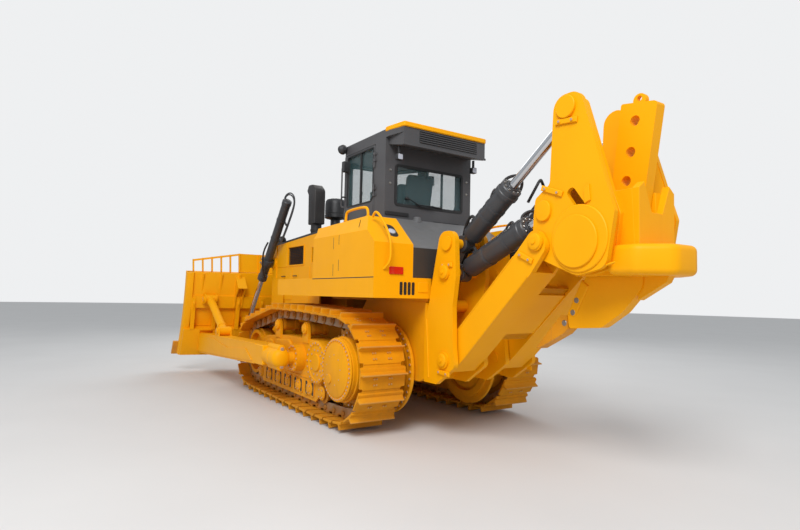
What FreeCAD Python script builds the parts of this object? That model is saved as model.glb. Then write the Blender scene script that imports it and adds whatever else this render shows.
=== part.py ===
import FreeCAD, Part
import Sketcher
import math
import os

# Crawler dozer with a semi-U blade in front and a single-shank ripper behind.
# Lengths are millimetres and angles degrees. X points forward, Y to the left, Z up.
# Every piece is drawn from a point on the ground under the drive sprockets, and
# the finished machine is then shifted along X so that its box is centred.

# Driving sizes: name, value
SIZES = [
    # Track chain and shoes
    ("track_gauge", 2260), ("track_pitch", 260), ("shoe_count", 39), ("shoe_width", 610),
    ("shoe_plate", 22), ("grouser_rise", 76), ("grouser_thick", 24), ("grouser_lead", 36),
    ("link_half", 70), ("rail_inner", 80), ("rail_thick", 45),
    ("sprocket_teeth", 27), ("sprocket_height", 745), ("sprocket_thick", 90), ("tooth_rise", 26),
    ("idler_radius", 375), ("idler_height", 640), ("idler_flange", 28),
    ("roller_radius", 110), ("roller_flange", 24), ("roller_first", 620), ("roller_step", 400),
    ("roller_count", 7), ("end_roller_lift", 2),
    ("carrier_radius", 100), ("carrier_rear", 1200), ("carrier_front", 2270), ("carrier_height", 1177), ("carrier_drop", 7),
    ("roll_gap", 0.4), ("axle_radius", 45),
    # Roller frames and final drives
    ("frame_inner", 960), ("frame_outer", 1300), ("frame_rear", 660), ("frame_front", 3035),
    ("frame_top", 1030), ("frame_base", 490), ("skirt_base", 205), ("skirt_thick", 25),
    ("pivot_ahead", 750), ("pivot_height", 745), ("pivot_radius", 290), ("pivot_cover", 34),
    ("hub_radius", 390), ("hub_face", 1438), ("hub_seat", 330), ("case_radius", 410),
    ("yoke_thick", 42), ("yoke_half", 105),
    # Hull
    ("hull_half", 450), ("hull_rear", -760), ("hull_front", 3600), ("hull_wall", 50),
    ("belly", 520), ("sill", 1180), ("case_half", 620), ("case_front", 470), ("case_top", 1600),
    ("case_base", 640),
    # Bodywork
    ("deck_base", 1640), ("deck_top", 1880), ("deck_front", 2090), ("body_rear", -840),
    ("box_outer", 1410), ("box_inner", 880), ("box_front", 800), ("box_top", 2615),
    ("sheet_thick", 40), ("tank_knee", 2240), ("tank_top", 2680),
    ("hood_half", 700), ("hood_rear", 1795), ("hood_front", 4050), ("hood_top", 2590),
    ("hood_rise", 110), ("hood_wall", 30),
    ("guard_front", 4250), ("guard_half", 720), ("guard_top", 2600), ("guard_base", 900),
    # Cab
    ("cab_rear", 60), ("cab_half", 740), ("cab_corner", 1220), ("cab_front", 1750),
    ("cab_nose", 440), ("cab_base", 2300), ("cab_top", 3780), ("cab_wall", 50),
    ("cab_floor", 60), ("roof_top", 3890), ("roof_rear", -300), ("visor_base", 3630),
    ("cap_front", 50), ("cap_thick", 26), ("cap_half", 690),
    ("door_rear", 330), ("door_front", 1180), ("door_base", 2700), ("door_top", 3745),
    ("door_thick", 42), ("door_gap", 6), ("door_rim", 55), ("hinge_out", 18), ("hinge_radius", 17),
    ("hinge_pin", 8), ("hinge_half", 30), ("hinge_low", 3080), ("hinge_high", 3560), ("sill_rise", 3000), ("glass_thick", 8),
    ("window_base", 2890), ("window_top", 3430), ("window_half", 575),
    # Blade, push arms and lift cylinders
    ("arm_pivot_ahead", 1370), ("arm_pivot_height", 750), ("arm_inner", 1490), ("arm_outer", 1740),
    ("arm_front", 5600), ("arm_pin", 85), ("arm_boss", 165), ("brace_foot", 4260),
    ("brace_foot_height", 941), ("brace_head", 5330), ("brace_head_height", 1520), ("brace_radius", 75),
    ("brace_half", 95), ("seat_gap", 0.3),
    ("blade_half", 2060), ("blade_centre", 1060), ("wing_angle", 14), ("blade_plate", 35),
    ("edge_ahead", 5900), ("edge_height", 395), ("blade_tall", 1690), ("blade_lean", 590),
    ("blade_hollow", 110), ("spill_tall", 390), ("edge_half", 2150), ("edge_thick", 50),
    ("lift_side", 850), ("lift_ahead", 4190), ("lift_height", 2260), ("lift_eye_ahead", 5240),
    ("lift_eye_height", 1060), ("lift_bore", 95), ("lift_rod", 48), ("lift_above", 1440),
    ("lift_below", 440), ("lift_inner", -740), ("lift_collar", 108), ("lift_pin", 50),
    # Ripper
    ("ear_outer", 640), ("ear_inner", 140), ("ear_thick", 60),
    ("ear_rear", -1305), ("low_pin_back", -1140), ("low_pin_height", 950),
    ("mid_pin_height", 1950), ("top_pin_height", 2280), ("top_pin_back", -1175),
    ("beam_pin_back", -2440), ("beam_pin_height", 2210), ("rod_pin_back", -2470),
    ("rod_pin_height", 2510), ("tower_pin_back", -2735), ("tower_pin_height", 3440),
    ("ripper_arm_outer", 560), ("ripper_arm_inner", 215), ("arm_fork_gap", 10), ("tower_outer", 490), ("tower_thick", 50),
    ("tower_inner", 265), ("tube_back", -2850), ("tube_height", 2170), ("tube_radius", 225),
    ("tube_cap", 40), ("ram_side", 378), ("ram_radius", 130), ("ram_rod", 50),
    ("tilt_barrel", 1050), ("tilt_inner", 560), ("ram_barrel", 1140), ("ram_inner", 225),
    ("pin_radius", 55),
    ("shank_half", 60), ("shank_wide", 360), ("shank_gap", 12),
]

# Cells that are plain numbers in the drawing frame, read back from the sheet
doc = FreeCAD.newDocument("Dozer")
sheet = doc.addObject("Spreadsheet::Sheet", "Sizes")
for row, (alias, value) in enumerate(SIZES, start=1):
    sheet.set(f"A{row}", alias)
    sheet.set(f"B{row}", str(value))
    sheet.setAlias(f"B{row}", alias)
doc.recompute()


class Size(float):
    """A number that keeps the sheet formula it was worked out with."""

    def __new__(cls, value, formula):
        made = float.__new__(cls, value)
        made.formula = formula
        return made

    def __add__(self, other):
        return Size(float(self) + float(other), f"({self.formula} + {formula_of(other)})")

    def __radd__(self, other):
        return Size(float(other) + float(self), f"({formula_of(other)} + {self.formula})")

    def __sub__(self, other):
        return Size(float(self) - float(other), f"({self.formula} - {formula_of(other)})")

    def __rsub__(self, other):
        return Size(float(other) - float(self), f"({formula_of(other)} - {self.formula})")

    def __mul__(self, other):
        return Size(float(self) * float(other), f"({self.formula} * {formula_of(other)})")

    __rmul__ = __mul__

    def __truediv__(self, other):
        return Size(float(self) / float(other), f"({self.formula} / {formula_of(other)})")

    def __neg__(self):
        return Size(-float(self), f"(-1 * {self.formula})")


def formula_of(value):
    """The sheet formula of a size, or a bare number written out."""
    return value.formula if isinstance(value, Size) else f"({float(value)!r})"


class Sheet:
    """The driving sizes as attributes, each bound to its cell."""


g = Sheet()
for alias, value in SIZES:
    setattr(g, alias, Size(getattr(sheet, alias), f"Sizes.{alias}"))


def bind(thing, path, value):
    """Tie a property to the sheet, or just set it when it is a bare number."""
    if isinstance(value, Size):
        thing.setExpression(path, value.formula)


# Side outlines are drawn with X to the right and Z up, plans with X and Y,
# and cross sections with Y and Z. A corner is (x, y) or (x, y, radius).


def disc(x, y, radius):
    """A round outline."""
    return ("disc", x, y, radius)


def box(x_low, y_low, x_high, y_high):
    """A rectangular outline."""
    return [(x_low, y_low), (x_high, y_low), (x_high, y_high), (x_low, y_high)]


def flat(x, y):
    return FreeCAD.Vector(float(x), float(y), 0)


def corner_cut(before, corner, after, radius):
    """The two tangent points and the middle of a rounded corner."""
    here = flat(*corner[:2])
    back = (flat(*before[:2]) - here).normalize()
    ahead = (flat(*after[:2]) - here).normalize()
    half = back.getAngle(ahead) / 2
    reach = float(radius) / math.tan(half)
    centre = here + (back + ahead).normalize() * (float(radius) / math.sin(half))
    middle = centre + (here - centre).normalize() * float(radius)
    return here + back * reach, middle, here + ahead * reach


def trace(outline):
    """Edges of an outline with their first and last vertex numbers, and its sharp corners."""
    count = len(outline)
    stops = []
    for index, corner in enumerate(outline):
        if len(corner) == 3 and corner[2] > 0:
            before, after = outline[index - 1], outline[(index + 1) % count]
            stops.append(corner_cut(before, corner, after, corner[2]))
        else:
            stops.append((flat(*corner[:2]),))
    edges = []
    sharp = {}
    for index, stop in enumerate(stops):
        if len(stop) == 3:
            begin, middle, end = stop
            if (middle - begin).cross(end - middle).z > 0:
                edges.append((Part.Arc(begin, middle, end), 1, 2))
            else:
                edges.append((Part.Arc(end, middle, begin), 2, 1))
        start, finish = stop[-1], stops[(index + 1) % count][0]
        if start.distanceToPoint(finish) > 1e-6:
            if len(stop) == 1:
                sharp[len(edges)] = outline[index]
            edges.append((Part.LineSegment(start, finish), 1, 2))
    return edges, sharp


class Piece:
    """A named body, drawn in its own frame and set at its home."""

    every = []

    def __init__(self, label, home=None):
        self.body = doc.addObject("PartDesign::Body", label)
        self.body.Label = label
        self.home = home or FreeCAD.Placement()
        Piece.every.append(self)

    def sketch(self, plane, outlines, offset):
        """A sketch on an origin plane of the body, at an offset along its normal."""
        sketch = self.body.newObject("Sketcher::SketchObject", "Outline")
        support = [item for item in self.body.Origin.OriginFeatures if item.Role == f"{plane}_Plane"]
        sketch.AttachmentSupport = [(support[0], "")]
        sketch.MapMode = "FlatFace"
        sketch.AttachmentOffset = FreeCAD.Placement(
            FreeCAD.Vector(0, 0, float(offset)), FreeCAD.Rotation()
        )
        bind(sketch, "AttachmentOffset.Base.z", offset)
        for outline in outlines:
            if outline[0] == "disc":
                self.draw_disc(sketch, *outline[1:])
            else:
                self.draw_corners(sketch, outline)
        return sketch

    def draw_disc(self, sketch, x, y, radius):
        index = sketch.addGeometry(Part.Circle(flat(x, y), FreeCAD.Vector(0, 0, 1), float(radius)))
        rules = [("Radius", radius)]
        held = sketch.addConstraint(Sketcher.Constraint("Radius", index, float(radius)))
        for name, value in (("DistanceX", x), ("DistanceY", y)):
            rules.append((name, value))
            sketch.addConstraint(Sketcher.Constraint(name, -1, 1, index, 3, float(value)))
        for step, (_, value) in enumerate(rules):
            bind(sketch, f"Constraints[{held + step}]", value)

    def draw_corners(self, sketch, outline):
        edges, sharp = trace(outline)
        first = sketch.GeometryCount
        sketch.addGeometry([edge for edge, _, _ in edges], False)
        count = len(edges)
        rules = []
        for index, (_, _, last) in enumerate(edges):
            following = (index + 1) % count
            begin = edges[following][1]
            rules.append(Sketcher.Constraint("Coincident", first + index, last, first + following, begin))
        bindings = []
        base = sketch.ConstraintCount
        for index, corner in sharp.items():
            for name, value in (("DistanceX", corner[0]), ("DistanceY", corner[1])):
                if isinstance(value, Size):
                    bindings.append((base + len(rules), value))
                    rules.append(
                        Sketcher.Constraint(name, -1, 1, first + index, 1, float(value))
                    )
        sketch.addConstraint(rules)
        for index, value in bindings:
            bind(sketch, f"Constraints[{index}]", value)

    def pad(self, plane, outlines, low, high):
        """Solid between two heights along the plane's axis."""
        start = -high if plane == "XZ" else low
        pad = self.body.newObject("PartDesign::Pad", "Pad")
        pad.Profile = self.sketch(plane, outlines, start)
        pad.Length = float(high - low)
        bind(pad, "Length", high - low)
        return pad

    def cut(self, plane, outlines, low, high):
        """Pocket between two heights along the plane's axis."""
        start = -low if plane == "XZ" else high
        pocket = self.body.newObject("PartDesign::Pocket", "Pocket")
        pocket.Profile = self.sketch(plane, outlines, start)
        pocket.Length = float(high - low)
        bind(pocket, "Length", high - low)
        return pocket

    def spin(self, outline, x=0, z=0, along="Y"):
        """Turned solid about a line along Y through (x, z), or about local X."""
        sketch = self.sketch("XY", [outline], z)
        sketch.AttachmentOffset = FreeCAD.Placement(
            FreeCAD.Vector(float(x), 0, float(z)), FreeCAD.Rotation()
        )
        bind(sketch, "AttachmentOffset.Base.x", x)
        turned = self.body.newObject("PartDesign::Revolution", "Turned")
        turned.Profile = sketch
        turned.ReferenceAxis = (sketch, ["V_Axis" if along == "Y" else "H_Axis"])
        turned.Angle = 360
        return turned


class Plain:
    """A named piece whose shape is worked out here from the sheet's sizes."""

    def __init__(self, label, shape, home=None):
        self.body = doc.addObject("Part::Feature", label)
        self.body.Label = label
        self.body.Shape = shape
        self.home = home or FreeCAD.Placement()
        Piece.every.append(self)


SIDES = (("left", 1), ("right", -1))


def span(side, near, far):
    """Low and high Y of a band that lies between two distances from the middle."""
    return (near, far) if side > 0 else (-far, -near)


def turned(side, outline):
    """A turned outline of (radius, y) corners, mirrored for the right side."""
    return [(corner[0], corner[1] * side) for corner in outline]


# Distances that several pieces share
track_mid = g.track_gauge / 2
pitch_radius = float(g.track_pitch) * float(g.sprocket_teeth) / 2 / (2 * math.pi)
shoe_back = g.link_half + g.shoe_plate
tip_rise = g.link_half + g.shoe_plate + g.grouser_rise
roller_height = tip_rise + g.link_half + g.roller_radius + g.roll_gap
roller_last = g.roller_first + g.roller_step * (g.roller_count - 1)


def belt(wheels):
    """Straight runs and wraps of a belt round wheels (x, z, radius) taken in order."""
    runs = []
    for index, (x0, z0, r0) in enumerate(wheels):
        x1, z1, r1 = wheels[(index + 1) % len(wheels)]
        gap = math.hypot(x1 - x0, z1 - z0)
        turn = math.atan2(z1 - z0, x1 - x0) - math.acos((r0 - r1) / gap)
        nx, nz = math.cos(turn), math.sin(turn)
        runs.append(((x0 + r0 * nx, z0 + r0 * nz), (x1 + r1 * nx, z1 + r1 * nz), turn))
    pieces = []
    for index, (x, z, radius) in enumerate(wheels):
        came, left = runs[index - 1][2], runs[index][2]
        pieces.append(("wrap", (x, z, radius), came, (left - came) % (2 * math.pi)))
        pieces.append(("run", runs[index][0], runs[index][1], None))
    return pieces


def belt_length(pieces):
    total = 0.0
    for kind, start, finish, turn in pieces:
        total += start[2] * turn if kind == "wrap" else math.dist(start, finish)
    return total


def belt_point(pieces, distance):
    """The point that lies a given distance along the belt."""
    for kind, start, finish, turn in pieces:
        length = start[2] * turn if kind == "wrap" else math.dist(start, finish)
        if distance <= length:
            break
        distance -= length
    if kind == "wrap":
        angle = finish + distance / start[2]
        return start[0] + start[2] * math.cos(angle), start[1] + start[2] * math.sin(angle)
    share = distance / length
    return (
        start[0] + (finish[0] - start[0]) * share,
        start[1] + (finish[1] - start[1]) * share,
    )


def track_wheels(idler_ahead):
    """The circles that the chain's pin line goes round, in order from the sprocket."""
    link = float(g.track_pitch)
    over_rail = float(g.link_half + g.roll_gap)
    carrier = float(g.carrier_radius) + over_rail
    roller = float(g.roller_radius) + over_rail
    return [
        (0.0, float(g.sprocket_height), pitch_radius),
        (float(g.roller_first), float(roller_height), roller),
        (float(roller_last), float(roller_height), roller),
        (idler_ahead, float(g.idler_height), math.hypot(float(g.idler_radius) + over_rail, link / 2)),
        (float(g.carrier_front), float(g.carrier_height), carrier),
        (float(g.carrier_rear), float(g.carrier_height), carrier),
    ]


def tight_idler():
    """Where the idler tightens a whole number of links, found by halving."""
    wanted = float(g.track_pitch) * float(g.shoe_count)
    low = float(roller_last) + 150
    high = low + wanted / 2
    for _ in range(60):
        middle = (low + high) / 2
        if belt_length(belt(track_wheels(middle))) < wanted:
            low = middle
        else:
            high = middle
    return (low + high) / 2


idler_ahead = tight_idler()


def track_pins():
    """Pin centres round the chain, with the outward direction at each."""
    pieces = belt(track_wheels(idler_ahead))
    count = int(g.shoe_count)
    step = belt_length(pieces) / count
    pins = [belt_point(pieces, step * index) for index in range(count)]
    outward = []
    for index in range(count):
        x0, z0 = pins[index - 1]
        x1, z1 = pins[(index + 1) % count]
        reach = math.hypot(x1 - x0, z1 - z0)
        outward.append(((z1 - z0) / reach, -(x1 - x0) / reach))
    return pins, outward


def ring_at(pins, outward, rise):
    return [(x + nx * rise, z + nz * rise) for (x, z), (nx, nz) in zip(pins, outward)]


def shoe_ring(pins, outward):
    """Outer outline of the shoe plates with one grouser across each."""
    plate = float(shoe_back)
    tip = plate + float(g.grouser_rise)
    backs = ring_at(pins, outward, plate)
    outline = []
    for index, (x0, z0) in enumerate(backs):
        x1, z1 = backs[(index + 1) % len(backs)]
        reach = math.hypot(x1 - x0, z1 - z0)
        tx, tz = (x1 - x0) / reach, (z1 - z0) / reach
        outline.append((x0, z0))
        lead = float(g.grouser_lead)
        for along, rise in (
            (lead, 0),
            (lead + 6, tip - plate),
            (lead + 6 + float(g.grouser_thick) / 2, tip - plate),
            (lead + float(g.grouser_thick) + 6, 0),
        ):
            outline.append((x0 + tx * along + tz * rise, z0 + tz * along - tx * rise))
    return outline


def plate_between(outlines, low, high):
    """Flat plate in a side plane, from one Y to another, with its holes."""
    faces = []
    for outline in outlines:
        corners = [FreeCAD.Vector(x, low, z) for x, z in outline]
        faces.append(Part.Face(Part.makePolygon(corners + corners[:1])))
    face = faces[0].cut(faces[1:]) if faces[1:] else faces[0]
    return face.extrude(FreeCAD.Vector(0, high - low, 0))


def track(label, side):
    """Endless track: shoe ring with grousers, carried by two link rails."""
    pins, outward = track_pins()
    inner = ring_at(pins, outward, float(g.link_half))
    low, high = span(side, track_mid - g.shoe_width / 2, track_mid + g.shoe_width / 2)
    shape = plate_between([shoe_ring(pins, outward), inner], float(low), float(high))
    rail_back = ring_at(pins, outward, -float(g.link_half))
    for near in (-g.rail_inner - g.rail_thick, g.rail_inner):
        low, high = span(side, track_mid + near, track_mid + near + g.rail_thick)
        shape = shape.fuse(plate_between([inner, rail_back], float(low), float(high)))
    return Plain(label, shape.removeSplitter())


def sprockets():
    """Toothed drive rings between the link rails, bored for the hubs."""
    teeth = int(g.sprocket_teeth)
    outline = []
    root = pitch_radius - 30
    tip = pitch_radius + float(g.tooth_rise)
    for tooth in range(teeth):
        for share, radius in ((-0.30, root), (-0.13, tip), (0.13, tip), (0.30, root)):
            angle = 2 * math.pi * (tooth + share) / teeth
            outline.append((radius * math.cos(angle), radius * math.sin(angle) + g.sprocket_height))
    outline = [(x, float(z)) for x, z in outline]
    piece = Piece("sprockets")
    bore = disc(0, g.sprocket_height, g.hub_seat + 0.3)
    for _, side in SIDES:
        low, high = span(side, track_mid - g.sprocket_thick / 2, track_mid + g.sprocket_thick / 2)
        piece.pad("XZ", [outline, bore], low, high)
    return piece


def final_drives():
    """Turned hub covers outside the sprockets and drive cases inside them."""
    ring_in = track_mid - g.sprocket_thick / 2
    ring_out = track_mid + g.sprocket_thick / 2
    profile = [
        (0, g.case_half), (g.case_radius - 60, g.case_half), (g.case_radius, g.case_half + 60),
        (g.case_radius, ring_in - 60), (g.case_radius - 30, ring_in - 0.3), (g.hub_seat, ring_in - 0.3),
        (g.hub_seat, ring_out + 0.3), (g.hub_radius - 25, ring_out + 0.3),
        (g.hub_radius, ring_out + 60), (g.hub_radius, g.hub_face - 60),
        (g.hub_radius - 60, g.hub_face - 16), (g.hub_radius - 110, g.hub_face), (0, g.hub_face),
    ]
    piece = Piece("final_drives")
    for _, side in SIDES:
        piece.spin(turned(side, profile), 0, g.sprocket_height)
    return piece


def roller_profile(radius, flange, half, mid):
    """Turned outline of a roller with two treads and flanges beside the rails."""
    tread_in, tread_out = g.rail_inner - 6, g.rail_inner + g.rail_thick + 6
    return [
        (0, mid - half), (g.axle_radius, mid - half), (g.axle_radius, mid - tread_out - 14),
        (radius + flange, mid - tread_out - 14), (radius + flange, mid - tread_out),
        (radius, mid - tread_out), (radius, mid - tread_in), (radius * 0.8, mid - tread_in),
        (radius * 0.8, mid + tread_in), (radius, mid + tread_in), (radius, mid + tread_out),
        (radius + flange, mid + tread_out), (radius + flange, mid + tread_out + 14),
        (g.axle_radius, mid + tread_out + 14), (g.axle_radius, mid + half), (0, mid + half),
    ]


def bottom_rollers():
    """Track rollers on both sides, between the skirts of the roller frames."""
    piece = Piece("bottom_rollers")
    half = (g.frame_outer - g.frame_inner) / 2 - g.skirt_thick - 0.3
    for _, side in SIDES:
        profile = roller_profile(g.roller_radius, g.roller_flange, half, track_mid)
        for index in range(int(g.roller_count)):
            at_end = index in (0, int(g.roller_count) - 1)
            height = roller_height + g.end_roller_lift if at_end else roller_height
            piece.spin(turned(side, profile), g.roller_first + g.roller_step * index, height)
    return piece


def carrier_rollers():
    """Upper rollers under the returning chain, on stub axles from their posts."""
    piece = Piece("carrier_rollers")
    for _, side in SIDES:
        reach = g.frame_outer - track_mid - g.skirt_thick - 0.3
        tread_out = g.rail_inner + g.rail_thick + 6
        radius = g.carrier_radius
        profile = [
            (0, track_mid - tread_out), (radius, track_mid - tread_out),
            (radius, track_mid - g.rail_inner + 6), (radius * 0.85, track_mid - g.rail_inner + 6),
            (radius * 0.85, track_mid + g.rail_inner - 6), (radius, track_mid + g.rail_inner - 6),
            (radius, track_mid + tread_out), (g.axle_radius, track_mid + tread_out),
            (g.axle_radius, track_mid + reach), (0, track_mid + reach),
        ]
        for ahead in (g.carrier_rear, g.carrier_front):
            piece.spin(turned(side, profile), ahead, g.carrier_height - g.carrier_drop)
    return piece


def idlers():
    """Front idler wheels with a middle flange between the rails."""
    piece = Piece("idlers")
    radius = g.idler_radius
    tread_in, tread_out = g.rail_inner - 8, g.rail_inner + g.rail_thick + 8
    for _, side in SIDES:
        profile = [
            (0, track_mid - 160), (110, track_mid - 160), (110, track_mid - 60),
            (radius - 70, track_mid - 45), (radius - 55, track_mid - tread_out),
            (radius, track_mid - tread_out), (radius, track_mid - tread_in),
            (radius + g.idler_flange, track_mid - tread_in + 12),
            (radius + g.idler_flange, track_mid + tread_in - 12), (radius, track_mid + tread_in),
            (radius, track_mid + tread_out), (radius - 55, track_mid + tread_out),
            (radius - 70, track_mid + 45), (110, track_mid + 60), (110, track_mid + 160),
            (0, track_mid + 160),
        ]
        piece.spin(turned(side, profile), idler_ahead, g.idler_height)
    return piece


def track_frames():
    """Roller frames: box beams, skirts beside the rollers, pivot housings and idler yokes."""
    piece = Piece("track_frames")
    for _, side in SIDES:
        track_frame(piece, side)


def track_frame(piece, side):
    """One roller frame."""
    low, high = span(side, g.frame_inner, g.frame_outer)
    beam = [
        (g.frame_rear, g.frame_base), (g.frame_front, g.frame_base), (g.frame_front, g.frame_top - 150),
        (g.frame_front - 260, g.frame_top - 60), (g.frame_rear + 1300, g.frame_top, 120),
        (g.frame_rear, g.frame_top, 120),
    ]
    piece.pad("XZ", [beam], low, high)
    skirt = [
        (g.frame_rear, g.skirt_base + 120), (g.frame_rear + 160, g.skirt_base),
        (g.frame_front - 120, g.skirt_base), (g.frame_front, g.skirt_base + 120),
        (g.frame_front, g.frame_base), (g.frame_rear, g.frame_base),
    ]
    for near in (g.frame_inner, g.frame_outer - g.skirt_thick):
        piece.pad("XZ", [skirt], *span(side, near, near + g.skirt_thick))
    cover = disc(g.pivot_ahead, g.pivot_height, g.pivot_radius)
    piece.pad("XZ", [cover], *span(side, g.frame_outer - 20, g.frame_outer + g.pivot_cover))
    for near in (track_mid - 160.3 - g.yoke_thick, track_mid + 160.3):
        yoke = [
            (g.frame_front - 5, g.idler_height - g.yoke_half), (idler_ahead, g.idler_height - g.yoke_half),
            (idler_ahead + 105, g.idler_height - 50), (idler_ahead + 105, g.idler_height + 50),
            (idler_ahead, g.idler_height + g.yoke_half),
            (g.frame_front - 5, g.idler_height + g.yoke_half + 60),
        ]
        piece.pad("XZ", [yoke], *span(side, near, near + g.yoke_thick))
    for ahead in (g.carrier_rear, g.carrier_front):
        post = [
            (ahead - 105, g.frame_top - 60), (ahead + 105, g.frame_top - 60),
            (ahead + 85, g.carrier_height + 85, 80), (ahead - 85, g.carrier_height + 85, 80),
        ]
        piece.pad("XZ", [post], *span(side, g.frame_outer - g.skirt_thick, g.frame_outer + 15))
    trunnion = disc(g.arm_pivot_ahead, g.arm_pivot_height, g.arm_pin)
    piece.pad("XZ", [trunnion], *span(side, g.frame_outer, g.arm_outer - 40))
    collar = disc(g.arm_pivot_ahead, g.arm_pivot_height, g.arm_boss + 30)
    piece.pad("XZ", [collar], *span(side, g.frame_outer, g.arm_inner - 60))


def main_frame():
    """Hull: rear drive case, two rails with a belly pan, pivot shafts and equalizer stubs."""
    piece = Piece("main_frame")
    case = [
        (g.hull_rear, g.case_base + 60), (g.hull_rear + 120, g.case_base), (g.case_front, g.case_base),
        (g.case_front, g.case_top - 120), (g.case_front - 120, g.case_top), (g.hull_rear, g.case_top),
    ]
    piece.pad("XZ", [case], -g.case_half, g.case_half)
    rails = [
        (g.case_front, g.belly), (g.hull_front - 140, g.belly), (g.hull_front, g.belly + 140),
        (g.hull_front, g.sill), (g.case_front + 900, g.sill), (g.case_front + 500, g.case_top),
        (g.case_front, g.case_top),
    ]
    piece.pad("XZ", [rails], -g.hull_half, g.hull_half)
    bay = box(g.case_front + 520, -g.hull_half + g.hull_wall, g.hull_front - g.hull_wall,
              g.hull_half - g.hull_wall)
    piece.cut("XY", [bay], g.belly + g.hull_wall, g.case_top + 50)
    for _, side in SIDES:
        shaft = disc(g.pivot_ahead, g.pivot_height, 115)
        piece.pad("XZ", [shaft], *span(side, g.hull_half, g.frame_inner))
        bar = box(2640, 700, 2800, 860)
        piece.pad("XZ", [bar], *span(side, g.hull_half, g.frame_inner))
    half = g.case_half - 10
    piece.pad("XY", [box(g.body_rear + 60, -half, g.hood_rear - 5, half)], g.case_top, g.deck_top - 0.3)
    piece.pad("XY", [box(g.cab_rear + 5, -half, g.cab_front - 40, half)], g.deck_top - 0.3, g.cab_base - 0.3)
    return piece


def engine_block():
    """Engine as one heavy block between the rails."""
    piece = Piece("engine_block")
    floor = g.belly + g.hull_wall
    piece.pad("XY", [box(g.hood_rear + g.hood_wall + 10, -330, 3100, 330)], floor, g.deck_top + 300)
    return piece


def decks():
    """Fender decks over the tracks, hollow below."""
    piece = Piece("decks")
    for _, side in SIDES:
        deck(piece, side)


def deck(piece, side):
    """One inverted tray."""
    inner = g.case_half - 8
    outline = [
        (g.body_rear, inner * side), (g.hood_rear, inner * side), (g.hood_rear, (g.hood_half + 5) * side),
        (g.deck_front, (g.hood_half + 5) * side), (g.deck_front, (g.box_outer) * side),
        (g.body_rear, g.box_outer * side),
    ]
    piece.pad("XY", [outline], g.deck_base, g.deck_top)
    wall = 22
    low, high = span(side, g.hood_half + 5 + wall, g.box_outer - wall)
    piece.cut("XY", [box(g.body_rear + wall, low, g.deck_front - wall, high)], g.deck_base,
              g.deck_top - wall)


def side_boxes():
    """Boxes beside the cab with their rear and outer upper edges sloped away."""
    piece = Piece("side_boxes")
    profile = [
        (g.body_rear, g.deck_top), (g.box_front, g.deck_top), (g.box_front, g.box_top - 130),
        (g.box_front + 90, g.box_top - 40), (g.body_rear + 390, g.box_top), (g.body_rear, g.box_top - 345),
    ]
    for _, side in SIDES:
        piece.pad("XZ", [profile], *span(side, g.box_inner, g.box_outer))
        outer, inner = g.box_outer * side, (g.box_outer - 140) * side
        slope = [(outer + side, g.box_top - 200), (outer + side, g.box_top + 40), (inner, g.box_top + 10)]
        piece.cut("YZ", [slope], g.body_rear - 5, g.box_front + 200)


def fuel_tank():
    """Rear tank across the machine between the side boxes, its top sloping to the cab."""
    piece = Piece("fuel_tank")
    profile = [
        (g.body_rear + 10, g.deck_top), (g.cab_rear - 5, g.deck_top), (g.cab_rear - 5, g.tank_top),
        (g.cab_rear - 160, g.tank_top), (g.body_rear + 10, g.tank_knee, 30),
    ]
    half = g.box_inner - 0.3
    piece.pad("XZ", [profile], -half, half)
    return piece


def cab_plan(inset):
    """Plan outline of the cab, with its front corners cut back."""
    half = g.cab_half - inset
    nose = g.cab_nose - inset * 0.7
    return [
        (g.cab_rear + inset, -half), (g.cab_corner - inset * 0.3, -half), (g.cab_front - inset, -nose),
        (g.cab_front - inset, nose), (g.cab_corner - inset * 0.3, half), (g.cab_rear + inset, half),
    ]


def cab_frame():
    """Hollow cab with a floor, openings for doors, rear window and front windows."""
    piece = Piece("cab_frame")
    piece.pad("XY", [cab_plan(0)], g.cab_base, g.cab_top)
    piece.cut("XY", [cab_plan(g.cab_wall)], g.cab_base + g.cab_floor, g.cab_top + 10)
    door = box(g.door_rear, g.door_base, g.door_front, g.door_top)
    corner = box(g.cab_corner + 70, g.door_base + 60, g.cab_front - 70, g.door_top)
    piece.cut("XZ", [door, corner], -g.cab_half - 10, g.cab_half + 10)
    rear = box(-g.window_half, g.window_base, g.window_half, g.window_top)
    piece.cut("YZ", [rear], g.cab_rear - 10, g.cab_rear + g.cab_wall + 10)
    front = box(-g.cab_nose + 90, g.door_base + 60, g.cab_nose - 90, g.door_top)
    piece.cut("YZ", [front], g.cab_front - g.cab_wall - 10, g.cab_front + 10)
    x, lug = g.door_rear - 2, 30
    for _, side in SIDES:
        y = (g.cab_half + g.hinge_out) * side
        for z in (g.hinge_low, g.hinge_high):
            for low in (z - g.hinge_half - lug, z + g.hinge_half):
                piece.pad("XY", [disc(x, y, g.hinge_radius)], low, low + lug)
                leaf = box(x - 46, *span(side, g.cab_half - 4, g.cab_half + 10)[:1], x,
                           span(side, g.cab_half - 4, g.cab_half + 10)[1])
                piece.pad("XY", [leaf], low, low + lug)
            piece.pad("XY", [disc(x, y, g.hinge_pin)], z - g.hinge_half - 1, z + g.hinge_half + 1)


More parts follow.
